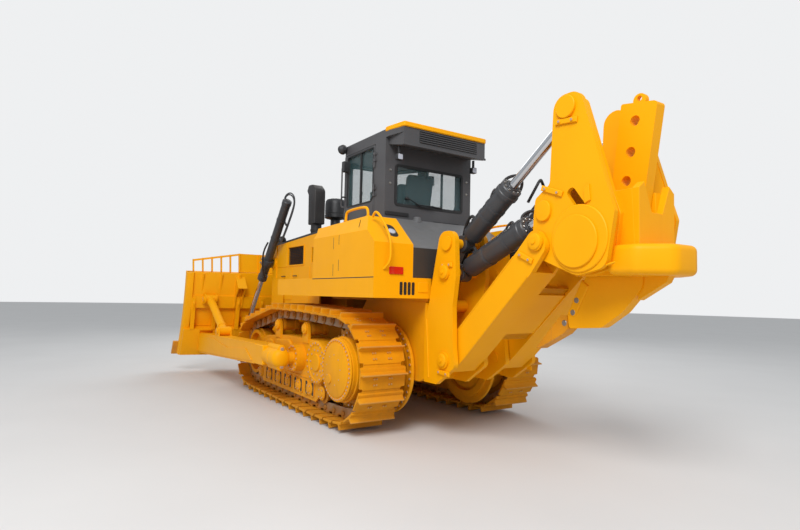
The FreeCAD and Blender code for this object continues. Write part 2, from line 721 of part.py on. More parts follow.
def cab_glass():
    """Fixed panes at the rear, the front and the two front corners."""
    panes = Piece("cab_glass")
    ahead = g.cab_rear + 15
    seat_gap = 0.3
    panes.pad("YZ", [box(-g.window_half + seat_gap, g.window_base + seat_gap, g.window_half - seat_gap,
                         g.window_top - seat_gap)], ahead, ahead + g.glass_thick)
    ahead = g.cab_front - 25
    panes.pad("YZ", [box(-g.cab_nose + 90.3, g.door_base + 60.3, g.cab_nose - 90.3,
                         g.door_top - seat_gap)], ahead, ahead + g.glass_thick)
    run = g.cab_front - g.cab_corner
    drop = g.cab_half - g.cab_nose
    for _, side in SIDES:
        outline = []
        for x, inward in ((70.3, 20), (run - 70.3, 20), (run - 70.3, 31), (70.3, 31)):
            share = x / run
            outline.append((g.cab_corner + x, (g.cab_half - drop * share - inward) * side))
        panes.pad("XY", [outline], g.door_base + 60.3, g.door_top - seat_gap)


def cab_roof():
    """Roof slab with the deep rear visor that houses the air conditioner."""
    piece = Piece("cab_roof")
    half = g.cab_half
    slab = [
        (g.roof_rear, -g.cap_half), (g.cab_rear - 80, -half), (g.cab_corner, -half),
        (g.cab_front + 20, -g.cab_nose - 20), (g.cab_front + 20, g.cab_nose + 20), (g.cab_corner, half),
        (g.cab_rear - 80, half), (g.roof_rear, g.cap_half),
    ]
    piece.pad("XY", [slab], g.cab_top, g.roof_top)
    visor = [
        (g.roof_rear, g.visor_base), (g.roof_rear + 30, g.visor_base - 15), (g.cab_rear - 5, g.visor_base + 60),
        (g.cab_rear - 5, g.cab_top), (g.roof_rear, g.cab_top),
    ]
    piece.pad("XZ", [visor], -g.cap_half, g.cap_half)
    for index in range(7):
        low = g.visor_base + 45 + index * 21
        piece.cut("YZ", [box(-540, low, 430, low + 12)], g.roof_rear - 5, g.roof_rear + 22)
    cap = Piece("roof_cap")
    plan = box(g.roof_rear - 12, -g.cap_half - 8, g.cap_front, g.cap_half + 8)
    cap.pad("XY", [plan], g.roof_top, g.roof_top + g.cap_thick)
    return piece, cap


def door(label, side):
    """Cab door: a rim round its window, hung at its rear edge."""
    piece = Piece(label)
    gap = g.door_gap
    rim = [
        (g.door_rear + gap, g.door_base + gap, 30), (g.door_front - gap, g.door_base + gap, 30),
        (g.door_front - gap, g.door_top - gap, 30), (g.door_rear + gap, g.door_top - gap, 30),
    ]
    window = [
        (g.door_rear + g.door_rim, g.sill_rise, 90), (g.door_front - g.door_rim, g.sill_rise, 20),
        (g.door_front - g.door_rim, g.door_top - g.door_rim, 20),
        (g.door_rear + g.door_rim, g.door_top - g.door_rim, 20),
    ]
    low, high = span(side, g.cab_half - g.door_thick, g.cab_half)
    piece.pad("XZ", [rim, window], low, high)
    x, y = g.door_rear - 2, (g.cab_half + g.hinge_out) * side
    low, high = span(side, g.cab_half - 6, g.cab_half + g.hinge_out - 4)
    for z in (g.hinge_low, g.hinge_high):
        knuckle = (z - g.hinge_half + 0.5, z + g.hinge_half - 0.5)
        piece.pad("XY", [disc(x, y, g.hinge_radius)], *knuckle)
        strap = box(x + 14, low, x + 62, high)
        piece.pad("XY", [strap], *knuckle)
        piece.cut("XY", [disc(x, y, g.hinge_pin + 0.06)], z - g.hinge_half - 1, z + g.hinge_half + 1)
    pane = Piece(label.replace("door", "door_glass"))
    inner = [(x, z, radius + 0.2) for x, z, radius in window]
    low, high = span(side, g.cab_half - g.door_thick / 2 - g.glass_thick, g.cab_half - g.door_thick / 2)
    pane.pad("XZ", [inner], low, high)
    return piece, pane


def seat():
    """Operator's seat, plain: base, cushion, back and headrest in one side outline."""
    piece = Piece("seat")
    floor = g.cab_base + g.cab_floor + 0.3
    outline = [
        (460, floor), (900, floor), (860, floor + 330), (960, floor + 350, 30), (960, floor + 470, 40),
        (520, floor + 450, 60), (400, floor + 1050, 40), (260, floor + 1030, 40), (400, floor + 340, 40),
    ]
    piece.pad("XZ", [outline], -250, 250)
    return piece


def console():
    """Instrument stand in front of the seat."""
    piece = Piece("console")
    floor = g.cab_base + g.cab_floor + 0.3
    outline = [(1350, floor), (1600, floor), (1600, floor + 760), (1430, floor + 700)]
    piece.pad("XZ", [outline], -260, 260)
    return piece


def hood():
    """Engine side walls with their grille openings, and the sloped black top."""
    piece = Piece("hood_sides")
    profile = [
        (g.hood_rear, g.deck_top + 5), (g.hood_front, g.sill + 0.3), (g.hood_front, g.hood_top),
        (g.hood_rear, g.hood_top + g.hood_rise),
    ]
    profile[0:1] = [(g.hood_rear, g.deck_top + 0.3), (g.deck_front + 0.3, g.deck_top + 0.3),
                    (g.deck_front + 0.3, g.sill + 0.3)]
    for _, side in SIDES:
        low, high = span(side, g.hood_half - g.hood_wall, g.hood_half)
        window = box(2780, 2185, 3490, 2505)
        slot = box(2340, 2200, 2430, 2450)
        piece.pad("XZ", [profile, window, slot], low, high)
    half = g.hood_half - g.hood_wall - 0.3
    rear_wall = box(-half, g.deck_top + 0.3, half, g.hood_top + g.hood_rise * 0.9)
    wall = Piece("firewall")
    wall.pad("YZ", [rear_wall], g.hood_rear, g.hood_rear + g.hood_wall)
    top = Piece("hood_top")
    slope = [
        (g.hood_rear, g.hood_top + g.hood_rise + 0.3), (g.hood_front, g.hood_top + 0.3),
        (g.hood_front, g.hood_top + 35), (g.hood_rear, g.hood_top + g.hood_rise + 35),
    ]
    top.pad("XZ", [slope], -g.hood_half, g.hood_half)
    return piece, top


def radiator_guard():
    """Nose box round the radiator, with the brackets for the lift cylinders."""
    piece = Piece("radiator_guard")
    nose = [
        (g.hull_front + 0.3, g.belly + 160), (g.guard_front - 250, g.belly + 220), (g.guard_front, g.guard_base),
        (g.guard_front, g.guard_top - 120, 60), (g.hood_front + 0.3, g.guard_top),
        (g.hood_front + 0.3, g.sill + 0.3), (g.hull_front + 0.3, g.sill + 0.3),
    ]
    piece.pad("XZ", [nose], -g.guard_half, g.guard_half)
    opening = box(-540, 1150, 540, g.guard_top - 160)
    piece.cut("YZ", [opening], g.guard_front - 140, g.guard_front + 10)
    for _, side in SIDES:
        ear = disc(g.lift_ahead, g.lift_height, 120)
        piece.pad("XZ", [ear], *span(side, g.guard_half, g.guard_half + 20))
        pin = disc(g.lift_ahead, g.lift_height, g.lift_pin)
        piece.pad("XZ", [pin], *span(side, g.guard_half, g.lift_side - g.lift_bore - 2))
    return piece


def grille():
    """Bars across the opening of the nose."""
    piece = Piece("grille")
    frame_low, frame_high = 1150.3, g.guard_top - 160.3
    outer = box(-539.7, frame_low, 539.7, frame_high)
    slots = []
    count = 12
    step = (frame_high - frame_low - 60) / count
    for index in range(count):
        low = frame_low + 30 + step * index
        for left, right in ((-510, -20), (20, 510)):
            slots.append(box(left, low + 18, right, low + step - 18))
    piece.pad("YZ", [outer] + slots, g.guard_front - 60, g.guard_front - 25)
    return piece


def stacks():
    """Exhaust stack and air pre-cleaner above the hood."""
    stack = Piece("exhaust_stack")
    stack.pad("XY", [disc(2900, 430, 95)], g.hood_top + 96.2, 2900)
    plan = [(2760, 325, 60), (3040, 325, 60), (3040, 535, 60), (2760, 535, 60)]
    stack.pad("XY", [plan], 2900, 3610)
    cleaner = Piece("precleaner")
    cleaner.pad("XY", [disc(3150, -70, 90)], g.hood_top + 83.8, 3170)
    cleaner.pad("XY", [disc(3150, -70, 212)], 3170, 3430)
    return stack, cleaner


def hinge_home(x, z, dx, dz):
    """Placement whose local X axis points from a pin towards another point."""
    angle = math.degrees(math.atan2(dz, dx))
    turn = FreeCAD.Rotation(FreeCAD.Vector(0, 1, 0), -angle)
    return FreeCAD.Placement(FreeCAD.Vector(float(x), 0, float(z)), turn)


def cylinder_pair(label, home, y, barrel_outline):
    """Two equal turned solids, left and right, about lines along local X."""
    piece = Piece(label, home)
    for _, side in SIDES:
        sketch = piece.sketch("XY", [barrel_outline], 0)
        sketch.AttachmentOffset = FreeCAD.Placement(
            FreeCAD.Vector(0, float(y) * side, 0), FreeCAD.Rotation()
        )
        bind(sketch, "AttachmentOffset.Base.y", y * side)
        turned_solid = piece.body.newObject("PartDesign::Revolution", "Turned")
        turned_solid.Profile = sketch
        turned_solid.ReferenceAxis = (sketch, ["H_Axis"])
        turned_solid.Angle = 360
    return piece


def blade_lift_cylinders():
    """Lift cylinders hung in their yokes, barrels above and rods down to the blade."""
    dx = g.lift_eye_ahead - g.lift_ahead
    dz = g.lift_eye_height - g.lift_height
    home = hinge_home(g.lift_ahead, g.lift_height, dx, dz)
    length = math.hypot(dx, dz)
    bore = g.lift_bore
    barrels = cylinder_pair("blade_lift_barrels", home, g.lift_side, [
        (-g.lift_above, 0), (-g.lift_above, bore - 15), (-g.lift_above + 30, bore),
        (-70, bore), (-70, g.lift_collar), (70, g.lift_collar), (70, bore), (g.lift_below - 60, bore),
        (g.lift_below - 60, bore + 14), (g.lift_below, bore + 14), (g.lift_below, g.lift_rod + 1),
        (-g.lift_above + 120, g.lift_rod + 1), (-g.lift_above + 120, 0),
    ])
    for _, side in SIDES:
        hole = disc(0, 0, g.lift_pin + 0.05)
        near, far = g.lift_side - g.lift_collar - 5, g.lift_side - g.lift_bore - 1
        barrels.cut("XZ", [hole], *span(side, near, far))
    rods = cylinder_pair("blade_lift_rods", home, g.lift_side, [
        (g.lift_inner, 0), (g.lift_inner, g.lift_rod), (length - 80, g.lift_rod),
        (length - 60, g.lift_rod - 8), (length - 60, 0),
    ])
    for _, side in SIDES:
        near = g.lift_side - 45
        rods.pad("XZ", [disc(length, 0, 85)], *span(side, near, near + 90))
    return barrels, rods


def blade_arc(back, low_share, high_share):
    """Three points of the hollow front face, moved back and kept between two heights."""
    foot = FreeCAD.Vector(float(g.edge_ahead), 0, float(g.edge_height))
    head = foot + FreeCAD.Vector(-float(g.blade_lean), 0, float(g.blade_tall))
    chord = head - foot
    normal = FreeCAD.Vector(-chord.z, 0, chord.x).normalize()
    points = []
    for share in (low_share, (low_share + high_share) / 2, high_share):
        bow = 4 * share * (1 - share) * float(g.blade_hollow)
        points.append(foot + chord * share + normal * (bow + back))
    return points


def blade_strip(low_share, high_share, front, back):
    """Closed curved strip of the blade's section."""
    inner = blade_arc(front, low_share, high_share)
    outer = blade_arc(back, low_share, high_share)
    edges = [
        Part.Arc(*inner).toShape(),
        Part.LineSegment(inner[2], outer[2]).toShape(),
        Part.Arc(*reversed(outer)).toShape(),
        Part.LineSegment(outer[0], inner[0]).toShape(),
    ]
    return Part.Wire(edges)


def across_blade(wire, inset=0.0, reach=None):
    """The section swept over the straight middle and both forward wings."""
    half = float(g.blade_centre)
    wing = float(reach or g.blade_half) - half - inset
    lead = wing * math.tan(math.radians(float(g.wing_angle)))
    middle = wire.copy()
    middle.translate(FreeCAD.Vector(0, -half, 0))
    solid = Part.Face(middle).extrude(FreeCAD.Vector(0, 2 * half, 0))
    for side in (1, -1):
        start = wire.copy()
        start.translate(FreeCAD.Vector(0, half * side, 0))
        solid = solid.fuse(Part.Face(start).extrude(FreeCAD.Vector(lead, wing * side, 0)))
    return solid.removeSplitter()


def rib(points, y, thick):
    """Upright plate at a distance y, given by its (x, z) corners."""
    return plate_between([points], y - thick / 2, y + thick / 2)


def wing_lead(y):
    """How far forward the blade stands at a distance y from the middle."""
    past = max(0.0, abs(y) - float(g.blade_centre))
    return past * math.tan(math.radians(float(g.wing_angle)))


def blade():
    """Semi-U blade: curved plate, box beams behind it, end plates, ears for the rods."""
    plate = float(g.blade_plate)
    solid = across_blade(blade_strip(0.0, 1.0, 0.0, plate))
    beams = (
        (0.02, 0.36, 200),
        (0.60, 0.74, 90),
        (0.74, 1.0, 60),
    )
    for low, high, deep in beams:
        solid = solid.fuse(across_blade(blade_strip(low, high, plate - 2, plate + deep), 20.0))
    for y in (-1900, -1500, -1060, -560, 560, 1060, 1500, 1900):
        low, _, high = blade_arc(plate, 0.30, 0.80)
        back_low, _, back_high = blade_arc(plate + 150, 0.30, 0.66)
        lead = wing_lead(y)
        corners = [(p.x + lead, p.z) for p in (low, high, back_high, back_low)]
        solid = solid.fuse(rib(corners, y, 30))
    eye_x, eye_z = float(g.lift_eye_ahead), float(g.lift_eye_height)
    for side in (1, -1):
        for offset in (-78, 78):
            y = (float(g.lift_side) + offset) * side
            ear = Part.makeCylinder(95, 36, FreeCAD.Vector(eye_x, y - 18, eye_z), FreeCAD.Vector(0, 1, 0))
            bar = Part.makeBox(420, 36, 190, FreeCAD.Vector(eye_x, y - 18, eye_z - 95))
            solid = solid.fuse(ear).fuse(bar)
        middle = (float(g.arm_inner) + float(g.arm_outer)) / 2
        thick, half = 25.0, float(g.brace_half)
        head_x, head_z = float(g.brace_head), float(g.brace_head_height)
        for near in (middle - half - thick, middle + half):
            low_y = float(span(side, near, near + thick)[0])
            start = FreeCAD.Vector(head_x, low_y, head_z)
            ear = Part.makeCylinder(100, thick, start, FreeCAD.Vector(0, 1, 0))
            bar = Part.makeBox(380, thick, 200, start - FreeCAD.Vector(0, 0, 100))
            solid = solid.fuse(ear).fuse(bar)
        low_y = float(span(side, g.arm_inner + 15, g.arm_outer - 15)[0])
        deep = float(g.arm_outer - g.arm_inner) - 30
        start = FreeCAD.Vector(float(g.arm_front), low_y, 440)
        solid = solid.fuse(Part.makeBox(420, deep, 370, start))
        gap = float(g.seat_gap)
        low_y = float(span(side, g.arm_inner - gap, g.arm_outer + gap)[0])
        deep = float(g.arm_outer - g.arm_inner) + 2 * gap
        arm_room = Part.makeBox(500, deep, 560, FreeCAD.Vector(float(g.arm_front) - 500, low_y, 310 + gap))
        solid = solid.cut(arm_room)
        start = FreeCAD.Vector(head_x, (middle - half) * side, head_z)
        across = FreeCAD.Vector(0, 2 * half * side, 0)
        brace_room = Part.makeCylinder(float(g.brace_radius) + 14, across.Length, start, across)
        solid = solid.cut(brace_room)
    front = across_blade(blade_strip(0.0, 1.0, -600.0, 0.0), -60.0)
    solid = solid.cut(front)
    return Plain("blade", solid.removeSplitter())


def cutting_edge():
    """Bolt-on edge plates along the foot of the blade."""
    solid = across_blade(blade_strip(-0.03, 0.14, -float(g.edge_thick), -0.3), 0.0, g.edge_half)
    return Plain("cutting_edge", solid)


def spill_guard():
    """Plated middle guard above the blade with open posts and a rail on each wing."""
    low = blade_arc(0.0, 0.0, 1.0)[2] - FreeCAD.Vector(65, 0, 0)
    base = low.z + float(g.seat_gap)
    tall = float(g.spill_tall)
    lean = -50.0
    half = float(g.blade_centre)
    end = float(g.blade_half) - 130

    def post(y, top, wide=24.0, deep=60.0):
        lead = wing_lead(y)
        corners = [
            (low.x + lead + 5, base), (low.x + lead + 5 + deep, base),
            (low.x + lead + 5 + deep - lean, base + top), (low.x + lead + 5 - lean, base + top),
        ]
        return rib(corners, y, wide)

    sheet_x = low.x + 45
    panel = plate_between([[
        (sheet_x, base), (sheet_x + 20, base), (sheet_x + 20 - lean, base + tall),
        (sheet_x - lean, base + tall),
    ]], -half, half)
    solid = panel
    for y in (-half, -half * 0.6, -half * 0.2, half * 0.2, half * 0.6, half):
        solid = solid.fuse(post(y, tall))
    for side in (1, -1):
        count = 5
        for index in range(1, count + 1):
            y = half + (end - half) * index / count
            top = tall - 150.0 * (y - half) / (end - half)
            solid = solid.fuse(post(y * side, top))
        lead = wing_lead(end)
        start = FreeCAD.Vector(low.x - lean + 30, half * side, base + tall - 22)
        finish = FreeCAD.Vector(low.x + lead - lean + 30, end * side, base + tall - 172)
        profile = Part.makePolygon([
            start + FreeCAD.Vector(-20, 0, -20), start + FreeCAD.Vector(20, 0, -20),
            start + FreeCAD.Vector(20, 0, 20), start + FreeCAD.Vector(-20, 0, 20),
            start + FreeCAD.Vector(-20, 0, -20),
        ])
        solid = solid.fuse(Part.Face(profile).extrude(finish - start))
    return Plain("spill_guard", solid.removeSplitter())


def push_arms():
    """Box arms from the trunnions to the blade's lower back."""
    piece = Piece("push_arms")
    for _, side in SIDES:
        push_arm(piece, side)


def push_arm(piece, side):
    """One arm with its trunnion bearing."""
    x, z = g.arm_pivot_ahead, g.arm_pivot_height
    tip = g.arm_front - g.seat_gap
    bar = [
        (x + 60, z - 140), (x + 60, z + 140), (x + 420, z + 145), (tip - 600, z + 90),
        (tip, z + 60), (tip, z - 320), (tip - 600, z - 300),
    ]
    piece.pad("XZ", [bar], *span(side, g.arm_inner, g.arm_outer))
    piece.pad("XZ", [disc(x, z, g.arm_boss)], *span(side, g.arm_inner - 40, g.arm_outer + 25))
    ear = [
        (g.brace_foot - 110, 820), (g.brace_foot + 130, 820),
        (g.brace_foot + 90, g.brace_foot_height + 80, 70), (g.brace_foot - 90, g.brace_foot_height + 80, 70),
    ]
    middle = (g.arm_inner + g.arm_outer) / 2
    for near in (middle - g.brace_half - 25, middle + g.brace_half):
        piece.pad("XZ", [ear], *span(side, near, near + 25))
    piece.cut("XZ", [disc(x, z, g.arm_pin + 0.05)], *span(side, g.arm_inner - 60, g.arm_outer - 35))


def braces():
    """Slanting tubes between the arms and the upper back of the blade."""
    tubes = [brace(side) for _, side in SIDES]
    return Plain("braces", Part.makeCompound(tubes))


def brace(side):
    """One tube with its ball end."""
    y = (float(g.arm_inner) + float(g.arm_outer)) / 2 * side
    head = FreeCAD.Vector(float(g.brace_head), y, float(g.brace_head_height))
    foot = FreeCAD.Vector(float(g.brace_foot), y, float(g.brace_foot_height))
    radius, half = float(g.brace_radius), float(g.brace_half) - float(g.seat_gap)
    tube = Part.makeCylinder(radius, (head - foot).Length, foot, head - foot)
    for end in (head, foot):
        start = end - FreeCAD.Vector(0, half, 0)
        tube = tube.fuse(Part.makeCylinder(radius + 8, 2 * half, start, FreeCAD.Vector(0, 1, 0)))
    return tube


def ripper_bracket():
    """Four ears on a mounting plate at the rear of the hull, joined by a cross tube."""
    piece = Piece("ripper_bracket")
    back = g.hull_rear - 0.3
    piece.pad("YZ", [box(-g.ear_outer, g.case_base + 40, g.ear_outer, g.case_top - 10)], back - 40, back)
    profile = [
        (back - 30, g.case_base + 20), (back - 240, g.case_base + 20), (g.ear_rear - 30, g.low_pin_height - 60, 60),
        (g.ear_rear, g.low_pin_height + 160, 60), (g.ear_rear + 20, 1560, 200),
        (g.ear_rear - 30, g.mid_pin_height - 60, 100), (g.ear_rear - 20, g.mid_pin_height + 120, 100),
        (g.top_pin_back - 130, g.top_pin_height + 140, 125), (g.top_pin_back + 140, g.top_pin_height + 140, 125),
        (back - 110, 1740), (back - 92, 1625), (back - 10, 1370), (back - 10, g.case_base + 20),
    ]
    for _, side in SIDES:
        for near in (g.ear_inner, g.ear_outer - g.ear_thick):
            piece.pad("XZ", [profile], *span(side, near, near + g.ear_thick))
    piece.pad("XZ", [disc(back - 200, 1560, 70)], -g.ear_outer + 5, g.ear_outer - 5)
    for _, side in SIDES:
        low, high = span(side, g.ear_inner - 10, g.ear_outer + 15)
        pins = [disc(g.low_pin_back, g.low_pin_height, g.pin_radius)]
        piece.pad("XZ", pins, low, high)
        piece.pad("XZ", [disc(g.low_pin_back, g.mid_pin_height, g.pin_radius)], low, high)
        caps = disc(g.low_pin_back, g.low_pin_height, g.pin_radius + 40)
        piece.pad("XZ", [caps], *span(side, g.ear_outer, g.ear_outer + 24))
        piece.pad("XZ", [disc(g.low_pin_back, g.mid_pin_height, g.pin_radius + 35)],
                  *span(side, g.ear_outer, g.ear_outer + 24))
        piece.cut("XZ", [disc(g.top_pin_back, g.top_pin_height, g.pin_radius + 0.05)],
                  *span(side, g.ear_inner - 20, g.ear_outer + 20))
    return piece


def ripper_upper_pins():
    """Pins through the top ears of the bracket, with round heads outside."""
    piece = Piece("ripper_upper_pins")
    for _, side in SIDES:
        piece.pad("XZ", [disc(g.top_pin_back, g.top_pin_height, g.pin_radius)],
                  *span(side, g.ear_inner - 8, g.ear_outer + 6))
        piece.pad("XZ", [disc(g.top_pin_back, g.top_pin_height, g.pin_radius + 30)],
                  *span(side, g.ear_outer + 6, g.ear_outer + 26))
    return piece


def ripper_arms():
    """Lower link: two box arms forked at the rear and joined by a cross plate."""
    piece = Piece("ripper_arms")
    ax, az = float(g.low_pin_back), float(g.low_pin_height)
    bx, bz = float(g.beam_pin_back), float(g.beam_pin_height)
    reach = math.hypot(bx - ax, bz - az)
    ux, uz = (bx - ax) / reach, (bz - az) / reach
    nx, nz = uz, -ux

    def at(along, up):
        return (ax + ux * along + nx * up, az + uz * along + nz * up)

    body = [at(-60, 130), at(-60, -130), at(200, -150), at(reach - 240, -170), at(reach - 240, 120), at(300, 160)]
    fork = [at(reach - 260, -170), at(reach + 60, -130) + (100,), at(reach + 110, 130) + (100,), at(reach - 260, 120)]
    for _, side in SIDES:
        piece.pad("XZ", [body], *span(side, g.ripper_arm_inner, g.ripper_arm_outer))
        for near in (g.ripper_arm_inner, g.ripper_arm_outer - 60):
            piece.pad("XZ", [fork], *span(side, near, near + (60 if near > 300 else 40)))
        piece.cut("XZ", [disc(ax, az, g.pin_radius + 0.05)],
                  *span(side, g.ripper_arm_inner - 10, g.ripper_arm_outer + 10))
        piece.cut("XZ", [disc(bx, bz, g.pin_radius + 0.05)],
                  *span(side, g.ripper_arm_inner - 10, g.ripper_arm_outer + 10))
    cross = [at(620, -150), at(1240, -150), at(1240, 20), at(620, 20)]
    piece.pad("XZ", [cross], -g.ripper_arm_inner - 5, g.ripper_arm_inner + 5)
    return piece


def ripper_pins():
    """Pins that join the lower link to the beam."""
    piece = Piece("ripper_pins")
    for _, side in SIDES:
        piece.pad("XZ", [disc(g.beam_pin_back, g.beam_pin_height, g.pin_radius)],
                  *span(side, g.ripper_arm_inner - 6, g.ripper_arm_outer + 6))
        piece.pad("XZ", [disc(g.beam_pin_back, g.beam_pin_height, g.pin_radius + 35)],
                  *span(side, g.ripper_arm_outer + 6, g.ripper_arm_outer + 26))
    return piece


def ripper_beam():
    """Beam: twin towers, cross tube, shank box and push block."""
    piece = Piece("ripper_beam")
    tower = [
        (g.tower_pin_back + 150, g.tower_pin_height + 140, 140), (g.tower_pin_back - 150, g.tower_pin_height + 140, 140),
        (-3210, 2640, 80), (-3330, 2420, 60), (-3250, 1960, 120), (-2850, 1880, 260),
        (g.beam_pin_back + 40, g.beam_pin_height - 150, 60), (g.beam_pin_back + 110, g.beam_pin_height + 60, 60),
        (g.rod_pin_back + 130, g.rod_pin_height - 40, 60), (g.rod_pin_back + 110, g.rod_pin_height + 130, 60),
        (-2560, 2900, 200),
    ]
    for _, side in SIDES:
        for near in (g.tower_inner, g.tower_outer - g.tower_thick):
            piece.pad("XZ", [tower], *span(side, near, near + g.tower_thick))
        web = [(-3330, 2420), (-3250, 1960), (-3215, 1960), (-3290, 2420), (-3175, 2640), (-3210, 2660)]
        piece.pad("XZ", [web], *span(side, g.tower_inner + 5, g.tower_outer - 5))
        low, high = span(side, g.tower_outer - 20, g.tower_outer + g.tube_cap)
        piece.pad("XZ", [disc(g.tube_back, g.tube_height, g.tube_radius)], low, high)
        low, high = span(side, g.tower_inner - 5, g.tower_outer + 5)
        piece.cut("XZ", [disc(g.beam_pin_back, g.beam_pin_height, g.pin_radius + 0.05)], low, high)
    piece.pad("XZ", [disc(g.tube_back, g.tube_height, g.tube_radius - 20)], -g.tower_outer + 5, g.tower_outer - 5)
    holder = [(-3325, 1880), (-2660, 1880), (-2640, 2300), (-2780, 2640), (-3295, 2640)]
    piece.pad("XZ", [holder], -g.tower_inner - 5, g.tower_inner + 5)
    block = [
        (-3240, -300), (-3240, 300), (-3540, 300, 170), (-3670, 120, 70), (-3670, -120, 70),
        (-3540, -300, 170),
    ]
    piece.pad("XY", [block], 1860, 2170)
    slot = [
        (-2520, 1780), (-2595, 1900), (-2845, 2400), (-2920, 2900), (-3305, 2900), (-3225, 2400),
        (-3195, 1950), (-3170, 1780),
    ]
    half = g.shank_half + g.shank_gap
    piece.cut("XZ", [slot], -half, half)
    piece.pad("XZ", [disc(-3020, 2520, 47.7)], -half - 5, half + 5)


def shank():
    """Curved shank with its pin holes, lifting eye and raked foot."""
    piece = Piece("shank")
    outline = [
        (-3010, 3490, 20), (-3370, 3430, 40), (-3210, 2400, 400), (-3180, 1950, 200), (-2950, 1620, 200),
        (-2745, 1400, 30), (-2415, 1380, 30), (-2400, 1520, 40), (-2620, 1890, 200), (-2870, 2400, 400),
    ]
    holes = [disc(x, z, 48) for x, z in ((-3150, 3300), (-3105, 3020), (-3060, 2760), (-3020, 2520))]
    piece.pad("XZ", [outline] + holes, -g.shank_half, g.shank_half)
    piece.pad("XZ", [disc(-3173, 3508, 64), disc(-3173, 3508, 25)], -25, 25)
    tip = Piece("ripper_tip")
    wedge = [(-2414.7, 1375), (-2400.5, 1508), (-2325, 1505), (-2005, 1160), (-2025, 1145), (-2355, 1320)]
    tip.pad("XZ", [wedge], -g.shank_half - 12, g.shank_half + 12)
    return piece, tip


def ripper_cylinders():
    """Tilt cylinders from the top ears to the towers, lift cylinders below them."""
    made = []
    table = (
        # label, pin x, pin z, rod x, rod z, barrel length, rod's inner end
        ("tilt", g.top_pin_back, g.top_pin_height, g.tower_pin_back, g.tower_pin_height, g.tilt_barrel,
         g.tilt_inner),
        ("lift", g.low_pin_back, g.mid_pin_height, g.rod_pin_back, g.rod_pin_height, g.ram_barrel,
         g.ram_inner),
    )
    for label, x, z, rod_x, rod_z, long, inner in table:
        home = hinge_home(x, z, rod_x - x, rod_z - z)
        length = math.hypot(rod_x - x, rod_z - z)
        bore = g.ram_radius
        barrels = cylinder_pair(f"ripper_{label}_barrels", home, g.ram_side, [
            (150, 0), (150, bore - 20), (170, bore), (long - 90, bore), (long - 90, bore + 16),
            (long - 40, bore + 16), (long - 40, bore), (long, bore - 10), (long, g.ram_rod + 1),
            (210, g.ram_rod + 1), (210, 0),
        ])
        for _, side in SIDES:
            near = g.ram_side - 70
            neck = [(0, -100), (0, 100), (160, 100), (160, -100)]
            low, high = span(side, near, near + 140)
            barrels.pad("XZ", [neck], low, high)
            barrels.pad("XZ", [disc(0, 0, 105)], low, high)
            barrels.cut("XZ", [disc(0, 0, g.pin_radius + 0.05)], *span(side, near - 5, near + 145))
        rods = cylinder_pair(f"ripper_{label}_rods", home, g.ram_side, [
            (inner, 0), (inner, g.ram_rod), (length - 80, g.ram_rod), (length - 60, g.ram_rod - 8),
            (length - 60, 0),
        ])
        for _, side in SIDES:
            near = g.ram_side - 45
            rods.pad("XZ", [disc(length, 0, 88)], *span(side, near, near + 90))
        made.extend((barrels, rods))
    return made


def build():
    """Draw every piece."""
    for label, side in SIDES:
        track(f"track_{label}", side)
        door(f"door_{label}", side)
    for make in (
        sprockets, final_drives, bottom_rollers, carrier_rollers, idlers, track_frames, main_frame,
        engine_block, decks, side_boxes, fuel_tank, cab_frame, cab_glass, cab_roof, seat, console,
        hood, radiator_guard, grille, stacks, blade_lift_cylinders, blade, cutting_edge, spill_guard,
        push_arms, braces, ripper_bracket,
        ripper_upper_pins, ripper_arms, ripper_pins, ripper_beam, shank, ripper_cylinders,
    ):
        make()


def settle():
    """Shift every piece so that the whole machine's box is centred on X."""
    doc.recompute()
    boxes = []
    for piece in Piece.every:
        piece.body.Placement = piece.home
        boxes.append(piece.body.Shape.BoundBox)
    rear = min(item.XMin for item in boxes)
    front = max(item.XMax for item in boxes)
    shift = FreeCAD.Placement(FreeCAD.Vector(-(rear + front) / 2, 0, 0), FreeCAD.Rotation())
    for piece in Piece.every:
        piece.body.Placement = shift * piece.home
    doc.recompute()
    return -(rear + front) / 2


def write():
    """Check every object and shape, then write one STEP file for each piece."""
    for item in doc.Objects:
        if "Invalid" in item.State or "Error" in item.State:
            raise RuntimeError(f"{item.Label} failed: {item.State}")
    os.makedirs("parts", exist_ok=True)
    for piece in Piece.every:
        shape = piece.body.Shape
        if shape.isNull() or not shape.isValid() or not shape.Solids:
            raise RuntimeError(f"{piece.body.Label} has no valid solid")
        shape.exportStep(f"parts/{piece.body.Label}.step")


build()
shift_ahead = settle()
write()
print(f"pieces {len(Piece.every)}, idler at {idler_ahead:.1f}, shift {shift_ahead:.4f}")
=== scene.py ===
import logging
import math
from dataclasses import dataclass, field
from enum import Enum
from typing import Sequence

import bpy
import numpy as np
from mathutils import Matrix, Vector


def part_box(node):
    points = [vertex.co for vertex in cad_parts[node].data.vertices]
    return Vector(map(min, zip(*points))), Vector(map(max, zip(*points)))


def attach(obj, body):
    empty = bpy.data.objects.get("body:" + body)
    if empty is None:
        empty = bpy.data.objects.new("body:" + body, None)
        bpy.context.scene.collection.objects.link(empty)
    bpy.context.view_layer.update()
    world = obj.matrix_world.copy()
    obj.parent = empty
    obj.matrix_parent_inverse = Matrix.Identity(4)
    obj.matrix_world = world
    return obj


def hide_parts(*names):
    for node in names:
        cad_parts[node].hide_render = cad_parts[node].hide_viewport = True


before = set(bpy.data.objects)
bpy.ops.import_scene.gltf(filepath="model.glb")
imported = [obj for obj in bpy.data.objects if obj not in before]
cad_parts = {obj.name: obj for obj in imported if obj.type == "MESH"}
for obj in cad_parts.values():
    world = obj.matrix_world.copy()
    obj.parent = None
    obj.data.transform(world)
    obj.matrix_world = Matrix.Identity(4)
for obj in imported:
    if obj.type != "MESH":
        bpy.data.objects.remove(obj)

log = logging.getLogger("dozer")
Array = np.ndarray
Point = Sequence[float]
Points = Sequence[Point]
Pair = tuple[float, float]
